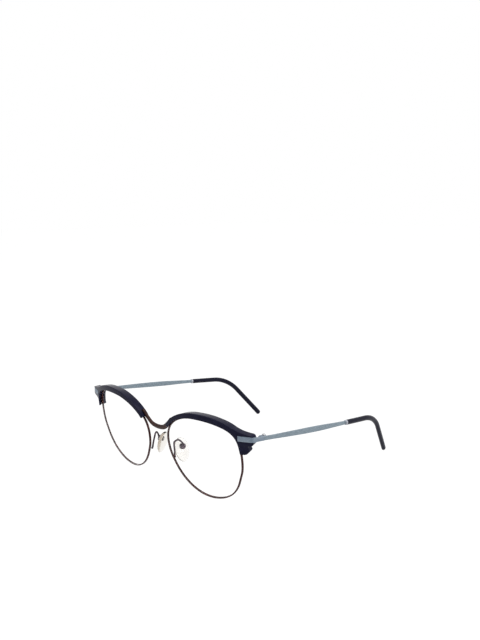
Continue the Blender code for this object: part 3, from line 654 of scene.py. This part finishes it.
def brow_rungs():
    """Rungs across the brow: lower point, outer point, drop of the rear edge, outer depths."""
    rungs = []
    span = wing_start_share - brow_bottom_share
    for share, out, up, front, rear in smooth_rows(wing_shares, wing_substeps):
        gap = lip_gap_outer + (lip_gap - lip_gap_outer) * share
        low = np.array(beside_rim(brow_bottom_share + span * share, gap))
        high = np.array([out * lens_width / 2, up * lens_height / 2])
        drop = wing_top_drop + (brow_top_drop - wing_top_drop) * share ** 3
        rungs.append((low, high, drop, brow_front * front, brow_rear * rear))
    span = brow_nasal_share - wing_start_share
    heights = smooth_rows(arch_height_shares, arch_substeps)
    for t in np.linspace(0, 1, arch_stations + 1)[1:]:
        height = brow_height * np.interp(t, np.linspace(0, 1, len(heights)), heights)
        low, high = [np.array(beside_rim(wing_start_share + span * t, lip_gap + up))
                     for up in (0, height)]
        rungs.append((low, high, brow_top_drop, brow_front, brow_rear))
    return rungs


def make_brow():
    half_slot = wire_axial / 2 + channel_side_gap
    legs = [brow_lip_round, brow_round, brow_round, brow_lip_round, lip_edge, 0, 0, lip_edge]
    rings = []
    for low, high, drop, front_top, rear_top in brow_rungs():
        reach = norm(high - low)
        way = (high - low) / reach
        base = sag(*low)
        slope = sag(*high) - base
        outline = rounded([
            (0, -brow_front), (reach, -front_top), (reach - drop, rear_top), (0, brow_rear),
            (0, half_slot), (channel_depth, half_slot),
            (channel_depth, -half_slot), (0, -half_slot),
        ], legs)
        ring = []
        for distance, depth in outline:
            u, v = low + way * distance
            ring.append(turn_front(u, v, base + slope * distance / reach + depth) + LENS_CENTRE)
        rings.append(ring)
    base, axis = plate_screw_place()
    shank, head = [radius + paint_gap for radius in plate_screw[:2]]
    hole = turned(base, axis, [(-cut_overrun, head), (0.0, head),
                               (0.0, shank), (cut_overrun * 2, shank)])
    groove = plate_sweep(paint_gap, plate_thickness + paint_gap, cut_overrun)
    return shaped(loft(rounded_ends(rings, brow_end_round)), [
        ("DIFFERENCE", groove), ("DIFFERENCE", lock_pocket()),
        ("DIFFERENCE", bridge_notch()), ("DIFFERENCE", hole)])


# Rim lock

def lock_frame():
    """Centre on the rim, and the along, out and back directions at the rim's split."""
    (u, v), (tu, tv), (nu, nv) = rim_frame(lock_share)
    return front_point(u, v), turn_front(tu, tv, 0), turn_front(nu, nv, 0), turn_front(0, 0, 1)


def lock_pocket():
    centre, up, out, back = lock_frame()
    top = lock_split / 2 + lock_height + lock_pocket_gap
    reach = wire_radial / 2 + seat_gap + lock_reach + lock_pocket_gap
    middle = centre + up * (top - lock_pocket_low) / 2 + out * (reach - lock_reach) / 2
    return block(middle, [up, out, back],
                 [top + lock_pocket_low, reach + lock_reach, lock_width + lock_pocket_gap * 2])


def make_lock_screw():
    centre, up, out, _ = lock_frame()
    base = centre + out * (wire_radial / 2 + seat_gap + lock_reach / 2)
    base -= up * (lock_split / 2 + lock_height + seat_gap)
    return screw(base, up, lock_height * 2 + lock_split, lock_screw)


# Screws

def screw(base, axis, length, sizes):
    """Low domed head with a driver slot, then the shank."""
    radius, head_radius, head_height = sizes
    axis = axis.normalized()
    dome = [(-head_height * sin(t), head_radius * (1 - dome_share + dome_share * cos(t)))
            for t in np.linspace(pi / 2, pi / 5, 6)]
    tip = radius * screw_tip_share
    profile = dome + [(0.0, head_radius), (0.0, radius), (length - radius + tip, radius),
                      (length, tip)]
    side = axis.orthogonal().normalized()
    slot = block(base - axis * head_height, [side, axis.cross(side), axis],
                 [head_radius * 3, head_radius * driver_slot_share,
                  head_height * driver_slot_depth_share])
    return shaped(turned(base, axis, profile), [("DIFFERENCE", slot)])


# Bridge

def bridge_run():
    """Bridge centreline from the middle plane out to its foot on the left rim."""
    lift = wire_radial / 2 + seat_gap + bridge_height / 2
    feet = []
    for k in range(3):
        share = brow_nasal_share + (bridge_foot_share - brow_nasal_share) * (k + 0.4) / 2.4
        feet.append(front_point(*beside_rim(share, lift), bridge_foot_back))
    end_rise = feet[0].z - bridge_sink * bridge_end_drop_share
    points = []
    for share in bridge_way_shares:
        way, four = share / bridge_way_shares[-1], bridge_quartic_share
        sunk = 1 - (1 - four) * way ** 2 - four * way ** 4
        forward = bridge_forward + (bridge_end_forward - bridge_forward) * share ** 2
        points.append(Vector((feet[0].x * share, -forward,
                              end_rise - bridge_sink * (1 - bridge_end_drop_share) * sunk)))
    return points + feet


BRIDGE_UP = Vector((0, -sin(tilt_angle), cos(tilt_angle)))


def bridge_notch():
    half = smooth_run(bridge_run(), notch_stations)[5:]
    half.append(half[-1] + (half[-1] - half[-2]).normalized() * bridge_depth / 4)
    wide = bridge_depth / 2 + paint_gap
    low, high = -bridge_height / 2 - paint_gap, bridge_height * 1.5
    return sweep(half, BRIDGE_UP, [(-wide, low), (wide, low), (wide, high), (-wide, high)])


def make_bridge():
    half = smooth_run(bridge_run(), bridge_stations)
    points = [Vector((-p.x, p.y, p.z)) for p in reversed(half[1:])] + half
    box = soft_box(bridge_depth, bridge_height, bridge_height / 2)
    angles = [atan2(y / bridge_height, x / bridge_depth) for x, y in box]
    section = oval(bridge_depth, bridge_height, angles)
    return sweep(points, BRIDGE_UP, section, bridge_end_round)


# Endpiece plate and hinge

def plate_face(u, v):
    return front_point(u, v, -brow_front - plate_proud)


def plate_ends():
    start = (lens_width / 2 * plate_front_share, lens_height / 2 * plate_front_up_share)
    return start, (start[0] + plate_reach, start[1] + plate_rise)


def hinge_centre():
    _, corner = plate_ends()
    return plate_face(*corner) + Vector(hinge_from_corner)


def temple_start():
    return hinge_centre() + Vector((temple_offset, -knuckle_radius - hinge_turn_gap, 0))


def plate_run():
    """Outer face of the plate at mid height, from its front end to the temple."""
    front, side_end = plate_ends()
    start = plate_face(*front)
    corner = plate_face(*side_end)
    rear = front_point(*side_end, plate_side_depth - brow_front)
    rear.x = corner.x - plate_side_taper
    rear.z = corner.z - plate_side_drop
    end = temple_start() + Vector((temple_thickness / 2, -butt_gap, 0))
    into, away = (corner - start).normalized(), (rear - corner).normalized()
    a, b = corner - into * plate_corner_radius, corner + away * plate_corner_radius
    points = [start.lerp(a, t) for t in np.linspace(0, 0.95, plate_front_stations)]
    turn = np.linspace(0, 1, plate_turn_stations)
    points += [a.lerp(corner, t).lerp(corner.lerp(b, t), t) for t in turn]
    points += [b.lerp(rear, t) for t in (0.33, 0.66)]
    points += [rear.lerp(end, t) for t in turn]
    return points


def plate_tall(share):
    """Height of the plate at a share of the way from its corner to the temple."""
    fall = min(max((share - plate_fall_start) / plate_fall_share, 0), 1)
    return plate_height + (plate_neck_height - plate_height) * fall * fall * (3 - 2 * fall)


def plate_sweep(side_gap, thickness, outside):
    points = plate_run()
    first = len(points) - plate_turn_stations

    def section(i):
        half = plate_tall((i - first) / (plate_turn_stations - 1)) / 2 + side_gap
        return [(-thickness, -half), (outside, -half), (outside, half), (-thickness, half)]

    return sweep(points, UP, section)


def knuckle_bounds(index):
    """Low and high end of a knuckle, counted from the bottom."""
    middle = hinge_centre().z + (knuckle_height + knuckle_gap) * (index - 1)
    return middle - knuckle_height / 2, middle + knuckle_height / 2


def hinge_bounds():
    return knuckle_bounds(0)[0], knuckle_bounds(2)[1]


def knuckle(index, arm, reach):
    """Round-ended ear about the hinge axis, with its arm running out to what carries it."""
    low, high = knuckle_bounds(index)
    centre = hinge_centre()
    across = Vector((-arm.y, arm.x, 0))
    spots = [(cos(t), -sin(t)) for t in np.linspace(0, pi, knuckle_stations)]
    spots += [(-1, reach / knuckle_radius), (1, reach / knuckle_radius)]
    ring = [centre + (across * a + arm * b) * knuckle_radius for a, b in spots]
    for p in ring:
        p.z = low
    return loft([ring, [p + UP * (high - low) for p in ring]])


def plate_screw_place():
    """Under the screw head at the back of the wing, and the direction to the plate."""
    (out, up), _ = plate_ends()
    return front_point(out + plate_screw_inset, up, brow_rear / 2), turn_front(0, 0, -1)


def make_plate():
    hinge, start = hinge_centre(), temple_start()
    outer = start.x + temple_thickness / 2 - plate_thickness / 2
    inner = hinge.x - knuckle_radius - leaf_step
    front = hinge.y - knuckle_radius - hinge_leaf_length
    butt = start.y - butt_gap
    bottom, top = hinge_bounds()
    leaf = Vector(((outer + inner) / 2, (front + butt) / 2, (bottom + top) / 2))
    sizes = [outer - inner, butt - front, hinge_leaf_height]
    reach = hinge.y - butt + hinge_leaf_length / 2
    return shaped(plate_sweep(0.0, plate_thickness, 0.0), [
        ("UNION", block(leaf, [OUT, BACK, UP], sizes)),
        ("UNION", knuckle(0, -BACK, reach)), ("UNION", knuckle(2, -BACK, reach)),
        ("DIFFERENCE", bore(hinge_centre(), UP, hinge_screw[0]))], plate_edge)


def make_plate_screw():
    base, axis = plate_screw_place()
    length = brow_rear / 2 + brow_front + plate_proud - plate_thickness + plate_screw_bite
    return screw(base - axis * seat_gap, axis, length, plate_screw)


def make_hinge_screw():
    low, high = hinge_bounds()
    base = hinge_centre()
    base.z = high + seat_gap
    return screw(base, -UP, base.z - low, hinge_screw)


# Temple and tip

def temple_course():
    """Centreline of the temple from the hinge, through the ear bend, to the end of the tip."""
    start = temple_start()
    ahead, leg = heading(temple_inward, temple_slope), heading(leg_inward, leg_drop)
    corner = start + ahead * temple_to_bend
    a, b = corner - ahead * bend_tangent, corner + leg * bend_tangent
    turn = acos(ahead.dot(leg))
    radius = bend_tangent / tan(turn / 2)
    inward = (leg - ahead * cos(turn)) / sin(turn)
    straight, bend, end = course_stations
    points = [start.lerp(a, t) for t in np.linspace(0, 1, straight)[:-1]]
    points += [a + (ahead * sin(t) + inward * (1 - cos(t))) * radius
               for t in np.linspace(0, turn, bend)]
    points += [b.lerp(corner + leg * temple_leg, t) for t in np.linspace(0, 1, end)[1:]]
    for p in points:
        share = min(max((p.y - start.y) / (corner.y - start.y), 0), 1)
        p.x += temple_bow * 4 * share * (1 - share)
    return points


def temple_tall(distance):
    """Height of the strip at a distance from the hinge."""
    share = distance / temple_to_sleeve
    first = share <= 0.5
    table = smooth_rows(temple_height_shares if first else sleeve_height_shares, 6)
    low = temple_height_hinge if first else temple_height_sleeve
    part = float(np.interp(share, *zip(*table)))
    return low + (temple_height_middle - low) * part


def make_temple():
    course = temple_course()
    end = temple_to_sleeve
    neck = end - collar_length
    strip = np.linspace(0, neck + collar_length / 2, temple_stations)
    stations = [(d, soft_box(temple_thickness, temple_tall(d), temple_edge)) for d in strip]
    core = soft_box(core_thickness, core_height, temple_edge)
    inside = np.linspace(end, run_length(course) - core_end_margin, core_stations)
    stations += [(d, core) for d in inside]
    return shaped(carry(course, stations), [
        ("UNION", knuckle(1, OUT, temple_offset)),
        ("DIFFERENCE", bore(hinge_centre(), UP, hinge_screw[0]))])


def make_collar():
    """Ring round the temple's end, against the sleeve."""
    start = temple_to_sleeve - collar_length
    return carry(temple_course(), [
        (start + collar_length * away,
         oval(sleeve_thickness * size, sleeve_height * size, sleeve_sides))
        for away, size in collar_shares])


def make_tip():
    """Sleeve with a rounded mouth, growing a little towards its domed end."""
    course = temple_course()
    total = run_length(course)
    start = temple_to_sleeve + sleeve_front_gap
    cap = sleeve_height / 2
    growth = (sleeve_tip_height - sleeve_height) / (total - start)
    sizes = [(start + advance, sleeve_thickness - inset * 2, sleeve_height - inset * 2)
             for inset, advance in quarter_round(mouth_round, 6)]
    for d in np.linspace(start + mouth_round, total - cap, sleeve_stations)[1:]:
        sizes.append((d, sleeve_thickness, sleeve_height + growth * (d - start)))
    for angle in np.radians(np.linspace(0, 84, 12)[1:]):
        sizes.append((total - cap * (1 - sin(angle)),
                      sleeve_thickness * cos(angle), sleeve_tip_height * cos(angle)))
    return carry(course, [(d, oval(width, height, sleeve_sides)) for d, width, height in sizes])


# Pads

def cup_centre():
    return Vector((lens_gap / 2 + cup_clear, cup_back, -cup_drop))


def pad_axes():
    """Nose-facing, downward and crosswise directions of the left pad."""
    face = heading(pi / 2 - pad_splay, pad_frontal)
    level = face.cross(UP).normalized()
    fall = face.cross(level)
    down = fall * cos(pad_lean) + level * sin(pad_lean)
    return face, down, level * cos(pad_lean) - fall * sin(pad_lean)


def arm_foot_share():
    """Place round the rim whose height is the pad arm's root."""
    shares = np.linspace(0.5, 0.65, 60)
    heights = np.array([front_point(*rim_point(s)).z for s in shares])
    return float(shares[int(np.argmin(np.abs(heights + arm_root_drop)))])


def make_pad_arm():
    face, down, _ = pad_axes()
    lift = wire_axial / 2 + seat_gap + arm_radius
    foot = front_point(*beside_rim(arm_foot_share(), arm_radius), lift)
    leg = cup_centre() + Vector(arm_leg)
    landing = cup_centre() - face * (cup_back_depth + seat_gap + arm_radius)
    landing -= down * cup_radius * arm_landing_share
    top = leg.lerp(landing, 0.5)
    top.z = cup_centre().z + arm_loop_top
    shoulder = top.lerp(landing, 0.5) + (landing - leg) * arm_shoulder_share
    low = foot.lerp(leg, arm_low_share) - OUT * arm_radius / 2
    turn = leg.lerp(top, arm_turn_share)
    turn.z = leg.z + (top.z - leg.z) * arm_turn_rise_share
    points = smooth_run([foot, low, foot.lerp(leg, 0.5), leg, turn, top, shoulder, landing],
                        arm_stations)

    def section(i):
        """Round wire, thicker where it is soldered at its foot and its landing."""
        left = arm_stations - 1 - i
        swell = exp(-i / solder_stations) + exp(-left / solder_stations) / 2
        width = arm_radius * 2 * (1 + solder_share * swell)
        return oval(width, width, wire_sides)

    return sweep(points, OUT, section, arm_radius / 2)


def make_pad_cup():
    face, down, across = pad_axes()
    base = cup_centre() - face * cup_back_depth
    chamfer = cup_back_depth * cup_chamfer_share
    depth = cup_back_depth + cup_front_depth
    profile = [(0.0, cup_radius - chamfer * 2)]
    profile += [(advance, cup_radius - inset) for inset, advance in quarter_round(chamfer, 6)]
    profile += [(depth - chamfer * 0.4, cup_radius), (depth, cup_radius - chamfer * 0.4)]
    reach = cup_front_depth + tang_radius + tang_end_gap
    centre = cup_centre() + face * (cup_front_depth - reach / 2 + cut_overrun / 2)
    axes = [across, down, face]
    slot = block(centre, axes, [cup_slot_width, cup_radius * 3, reach + cut_overrun])
    flat = cup_radius * cup_flat_share
    trim = block(cup_centre() - across * (flat + cup_radius / 2), axes,
                 [cup_radius, cup_radius * 3, cup_radius * 4])
    hole = bore(cup_centre(), across, pad_screw[0], cut_overrun * 2)
    return shaped(turned(base, face, profile), [
        ("DIFFERENCE", slot), ("DIFFERENCE", hole), ("DIFFERENCE", trim)])


def make_pad_screw():
    _, _, across = pad_axes()
    out = cup_radius * cup_flat_share + seat_gap
    length = out + cup_slot_width / 2 + cup_radius * pad_screw_bite_share
    return screw(cup_centre() - across * out, across, length, pad_screw)


def make_nose_pad():
    face, down, across = pad_axes()
    middle = cup_centre() + down * pad_drop
    angles = [tau * k / pad_sides for k in range(pad_sides)]
    rings = [[middle + face * (pad_back_depth + pad_thickness * depth)
              + across * sin(t) * pad_width / 2 * size * (1 + pad_taper_share * cos(t))
              - down * cos(t) * pad_height / 2 * size for t in angles]
             for depth, size in smooth_rows(pad_section_shares, 6)]
    thickness = cup_slot_width - tang_side_gap * 2
    eye = [(-thickness / 2, tang_radius), (thickness / 2, tang_radius)]
    depth = pad_back_depth + pad_thickness * tang_sink_share
    neck = block(cup_centre() + face * depth / 2, [across, down, face],
                 [thickness, tang_radius * 2, depth])
    return shaped(loft(rings), [
        ("UNION", turned(cup_centre(), across, eye)), ("UNION", neck),
        ("DIFFERENCE", bore(cup_centre(), across, pad_screw[0]))])


# Materials

class Tree:
    """A node tree, with short ways to add nodes to it."""

    def __init__(self, owner):
        owner.use_nodes = True
        self.nodes, self.links = owner.node_tree.nodes, owner.node_tree.links

    def fill(self, node, inputs):
        """Each input given is linked to an output, or set to a number, a row or a colour."""
        for socket, value in inputs.items():
            target = node.inputs[socket]
            if isinstance(value, bpy.types.NodeSocket):
                self.links.new(value, target)
            elif value is not None:
                target.default_value = (*value, 1) if target.type == "RGBA" else value

    def add(self, kind, output, inputs=(), **settings):
        """An output of a new node."""
        node = self.nodes.new("ShaderNode" + kind)
        for name, value in settings.items():
            setattr(node, name, value)
        self.fill(node, dict(inputs))
        return node.outputs[output]

    def mix_surface(self, share, first, second, end="Material Output"):
        """The surface is a share of the second shader and the rest of the first."""
        mix = self.add("MixShader", "Shader", {0: share, 1: first, 2: second})
        self.fill(self.nodes[end], {"Surface": mix})

    def seen_rays(self):
        """1 for what the camera sees straight, mirrored or through glass, else 0."""
        path = self.nodes.new("ShaderNodeLightPath").outputs
        seen = path["Is Camera Ray"]
        for kind in ("Is Glossy Ray", "Is Transmission Ray"):
            seen = self.add("Math", 0, {0: seen, 1: path[kind]}, operation="MAXIMUM")
        return seen


class Look(Tree):
    """A material's node tree, with short ways to add what a surface needs."""

    def __init__(self, name, **constants):
        self.material = bpy.data.materials.new(name)
        super().__init__(self.material)
        self.shader = self.nodes["Principled BSDF"]
        self.place = self.add("TexCoord", "Object")
        self.fill(self.shader, {key.replace("_", " "): value for key, value in constants.items()})

    def stretched(self, scale, turn=(0, 0, 0)):
        return self.add("Mapping", "Vector", {
            "Scale": scale, "Rotation": turn, "Vector": self.place})

    def noise(self, per_metre, detail=3.0, rough=0.5, vector=None, distortion=0.0):
        return self.add("TexNoise", "Fac", {
            "Scale": per_metre, "Detail": detail, "Roughness": rough,
            "Distortion": distortion, "Vector": vector or self.place})

    def ramp(self, value, low, high, start=0.3, end=0.7):
        """Colours or numbers between low and high as value goes from start to end."""
        node = self.nodes.new("ShaderNodeValToRGB")
        for stop, spot, shade in zip(node.color_ramp.elements, (start, end), (low, high)):
            stop.position = spot
            stop.color = (*shade, 1) if isinstance(shade, tuple) else (shade, shade, shade, 1)
        self.fill(node, {"Fac": value})
        return node.outputs["Color"]

    def blend(self, factor, first, second):
        return self.add("Mix", 2, {0: factor, 6: first, 7: second}, data_type="RGBA")

    def edges(self, start=0.52, end=0.60):
        """Bright where the surface turns outwards sharply, for worn edges."""
        return self.ramp(self.add("NewGeometry", "Pointiness"), 0.0, 1.0, start, end)

    def bump(self, height, depth, strength=0.5, after=None):
        return self.add("Bump", "Normal", {
            "Strength": strength, "Distance": depth, "Height": height, "Normal": after})

    def finish(self, colour=None, roughness=None, normal=None):
        self.fill(self.shader, {"Base Color": colour, "Roughness": roughness, "Normal": normal})
        return self.material

    def pass_light(self, tint):
        """Lets light through to what lies behind, as clear pieces do."""
        clear = self.add("BsdfTransparent", "BSDF", {"Color": tint})
        self.mix_surface(self.add("LightPath", "Is Shadow Ray"),
                         self.shader.outputs["BSDF"], clear)
        return self.material


def acetate(name, dark, light, polish, gloss):
    """Dark acetate: cloudy colour, buffing marks and a polished skin."""
    look = Look(name, Metallic=0.0, IOR=1.48, Specular_IOR_Level=gloss)
    cloud = look.ramp(look.noise(170, 5, 0.6, distortion=1.4), dark, light)
    streak = look.noise(1, 3, 0.55, look.stretched((120, 700, 700)), 0.6)
    colour = look.blend(look.ramp(streak, 0.0, 0.5, 0.45, 0.7), cloud, light)
    buff = look.noise(1, 4, 0.6, look.stretched((900, 5200, 5200), (0.2, 0.1, 0.4)))
    rough = look.ramp(buff, polish, polish + 0.12)
    normal = look.bump(look.noise(900, 3), 0.004 * MM, 0.3)
    normal = look.bump(buff, 0.001 * MM, 0.25, normal)
    return look.finish(colour, rough, normal)


def plated(name, base, bright, low, high, metal=0.9):
    """Plated or turned metal: drawn lines, slightly uneven colour and rubbed edges."""
    look = Look(name, Metallic=metal, Anisotropic=0.25)
    tone = look.ramp(look.noise(600, 4, 0.6), base, bright)
    colour = look.blend(look.edges(), tone, bright)
    lines = look.noise(1, 4, 0.65, look.stretched((2500, 9000, 9000)))
    rough = look.ramp(lines, low, high)
    return look.finish(colour, rough, look.bump(lines, 0.0015 * MM, 0.4))


def painted(name, base, bright):
    """Matte sprayed paint on metal: fine orange peel, faint speckle and paler edges."""
    look = Look(name, Metallic=0.12, Specular_IOR_Level=0.4)
    tone = look.ramp(look.noise(350, 5, 0.6), base, bright)
    speck = look.ramp(look.noise(7000, 2, 0.5), 0.0, 0.35, 0.55, 0.75)
    colour = look.blend(speck, tone, bright)
    worn = tuple(part + (1 - part) * paint_edge_share for part in bright)
    colour = look.blend(look.edges(0.53, 0.66), colour, worn)
    peel = look.noise(3200, 3, 0.5)
    rough = look.ramp(look.noise(900, 3), 0.40, 0.56)
    return look.finish(colour, rough, look.bump(peel, 0.004 * MM, 0.5))


def clear_lens():
    """Thin flat-power lens: it bends nothing behind it, and its coating reflects faintly."""
    look = Look("clear_lens", Transmission_Weight=1.0, IOR=1.01, Base_Color=(1, 1, 1),
                Coat_Weight=0.15, Coat_IOR=1.4, Coat_Roughness=0.02)
    smear = look.noise(90, 4, 0.6)
    rough = look.ramp(smear, 0.0, 0.02, 0.45, 0.8)
    look.finish(None, rough, look.bump(look.noise(60, 2), 0.0005 * MM, 0.15))
    return look.pass_light((0.97, 0.98, 0.98))


def silicone():
    """Soft clear silicone: a little yellow in its depth, painted grey shade at its edges, tiny
    bubbles.
    """
    look = Look("clear_silicone", Transmission_Weight=1.0, IOR=1.30, Specular_IOR_Level=0.3)
    tone = look.ramp(look.noise(260, 3, 0.5), silicone_colour, silicone_pale)
    # Painted shade: grey where the surface turns away from the view, standing in for the dark edges
    # that bending light gives a clear pad.
    turned_away = look.add("LayerWeight", "Facing", {"Blend": 0.5})
    rim = look.ramp(turned_away, 0.0, 1.0, 0.66, 0.96)
    tone = look.blend(rim, tone, silicone_edge_painted_shade)
    depth = look.add("VolumeAbsorption", "Volume", {
        "Color": silicone_depth_colour, "Density": silicone_depth})
    look.fill(look.nodes["Material Output"], {"Volume": depth})
    rough = look.ramp(look.noise(1500, 4), 0.05, 0.16)
    bubbles = look.noise(2600, 2, 0.4)
    look.finish(tone, rough, look.bump(bubbles, 0.006 * MM, 0.3))
    return look.pass_light((0.93, 0.92, 0.89))


# The object

SEAT = seat()
ACETATE = acetate("navy_acetate", (0.0035, 0.0036, 0.014), (0.008, 0.008, 0.024),
                  0.16, acetate_gloss)
SLEEVE = acetate("navy_sleeve", (0.0028, 0.0030, 0.0100), (0.0062, 0.0062, 0.0170),
                 0.24, sleeve_gloss)
RIM_METAL = plated("brown_metal", (0.027, 0.0085, 0.0083), (0.063, 0.026, 0.024), 0.24, 0.42)
BRIDGE_METAL = plated("bridge_metal", (0.0135, 0.0060, 0.0052), (0.036, 0.0175, 0.0150), 0.26, 0.44)
LOCK_METAL = plated("lock_metal", (0.010, 0.0040, 0.0045), (0.022, 0.0100, 0.0110), 0.34, 0.50)
PAD_METAL = plated("pad_arm_metal", (0.038, 0.028, 0.035), (0.080, 0.062, 0.074), 0.28, 0.44)
SCREW_STEEL = plated("screw_steel", (0.22, 0.23, 0.24), (0.42, 0.42, 0.44), 0.22, 0.38, 1.0)
BLUE_METAL = painted("blue_painted_metal", (0.138, 0.178, 0.212), (0.172, 0.217, 0.253))
# The endpiece plates get the temples' paint made darker and bluer: painted shade, not a different
# paint.
SHADED_PLATE_PAINT = painted("plate_paint_painted_shade", (0.109, 0.146, 0.192), (0.136, 0.179, 0.229))
# The collar ring gets the temples' paint made lighter: a painted highlight, not a different paint.
HIGHLIT_COLLAR_PAINT = painted("collar_paint_painted_highlight", (0.24, 0.255, 0.295), (0.32, 0.335, 0.375))
LENS = clear_lens()
SILICONE = silicone()

place(make_bridge(), "bridge_bar", BRIDGE_METAL, "front", ["bridge"])
for maker, name, mat, body, slot_name, node in (
        (make_eyewire, "drawn_eyewire", RIM_METAL, "front", "brown_metal", "eyewire"),
        (make_lens, "ground_lens", LENS, "front", "clear_lens", "lens"),
        (make_brow, "acetate_brow", ACETATE, "front", "navy_acetate", "brow"),
        (make_lock_screw, "lock_screw", SCREW_STEEL, "front", "screw_steel", "rim_lock_screw"),
        (make_plate, "painted_plate", SHADED_PLATE_PAINT, "front", "blue_painted_metal",
         "endpiece_plate"),
        (make_plate_screw, "plate_screw", SCREW_STEEL, "front", "screw_steel", "endpiece_screw"),
        (make_hinge_screw, "slotted_hinge_screw", SCREW_STEEL, "front", "screw_steel",
         "hinge_screw"),
        (make_temple, "painted_temple", BLUE_METAL, "temple", "blue_painted_metal", "temple"),
        (make_collar, "collar_ring", HIGHLIT_COLLAR_PAINT, "temple", "blue_painted_metal", "temple"),
        (make_tip, "tip_sleeve", SLEEVE, "temple", "navy_sleeve", "temple_tip"),
        (make_pad_arm, "looped_pad_arm", PAD_METAL, "front", "pad_arm_metal", "pad_arm"),
        (make_pad_cup, "slotted_pad_cup", PAD_METAL, "front", "pad_arm_metal", "pad_cup"),
        (make_pad_screw, "slotted_pad_screw", SCREW_STEEL, "front", "screw_steel", "pad_screw"),
        (make_nose_pad, "silicone_pad", SILICONE, "pad", "clear_silicone", "nose_pad")):
    place_pair(maker(), name, mat, body, node)

for side in ("left", "right"):
    for end in ("upper", "lower"):
        lock = frame["nodes"][f"rim_lock_{end}_{side}"]
        lock.data.materials.clear()
        lock.data.materials.append(LOCK_METAL)
        ease = lock.modifiers.new("edge", "BEVEL")
        ease.width = lock_edge
        ease.segments = bevel_segments


# Floor, light and camera

def plain_ground():
    """White ground: the camera sees it near white, with a trace of the object's shadow."""
    look = Look("plain_ground", Roughness=0.9, Specular_IOR_Level=0.2)
    look.finish(look.ramp(look.noise(6, 3), 0.80, 0.84))
    share = look.add("Math", 0, {0: look.seen_rays(), 1: ground_white_share},
                     operation="MULTIPLY")
    white = look.add("Emission", "Emission", {"Strength": ground_white})
    look.mix_surface(share, look.shader.outputs["BSDF"], white)
    return look.material


def make_ground():
    bm = bmesh.new()
    bmesh.ops.create_grid(bm, x_segments=8, y_segments=8, size=ground_size / 2)
    ground = new_object("ground", new_mesh("ground", bm))
    bm.free()
    ground.data.materials.append(plain_ground())
    ground.location.z = -ground_drop


def make_world():
    """White to the camera and through glass, and even light on the object."""
    world = bpy.data.worlds.new("studio")
    scene.world = world
    tree = Tree(world)
    even = tree.nodes["Background"]
    tree.fill(even, {"Color": (1, 1, 1), "Strength": world_light})
    white = tree.add("Background", "Background", {"Color": (1, 1, 1), "Strength": 1.0})
    tree.mix_surface(tree.seen_rays(), even.outputs["Background"], white, "World Output")


def make_lamp(name, spot, size, power):
    """Soft box that looks at the middle of the object."""
    lamp = bpy.data.lights.new(name, "AREA")
    lamp.shape = "RECTANGLE"
    lamp.size, lamp.size_y = size
    lamp.energy = power
    item = new_object(name, lamp)
    item.location = spot
    aim = UP * lens_height / 2 - Vector(spot)
    item.rotation_euler = aim.to_track_quat("-Z", "Y").to_euler()


def make_camera():
    """The photograph's view, found by fitting the object's own points."""
    back = -heading(view_azimuth, view_elevation)
    right = Vector((cos(view_azimuth), sin(view_azimuth), 0))
    up = back.cross(right)
    turn = Matrix((right, up, back)).transposed().to_4x4()
    camera = new_object("camera", bpy.data.cameras.new("camera"))
    camera.data.lens = view_lens
    camera.data.sensor_width = view_sensor
    camera.data.clip_start = 0.01
    camera.matrix_world = SEAT @ Matrix.Translation(Vector(view_spot)) @ turn
    scene.camera = camera


make_ground()
make_world()
for lamp in lamps:
    make_lamp(*lamp)
make_camera()
scene.view_settings.view_transform = "Standard"
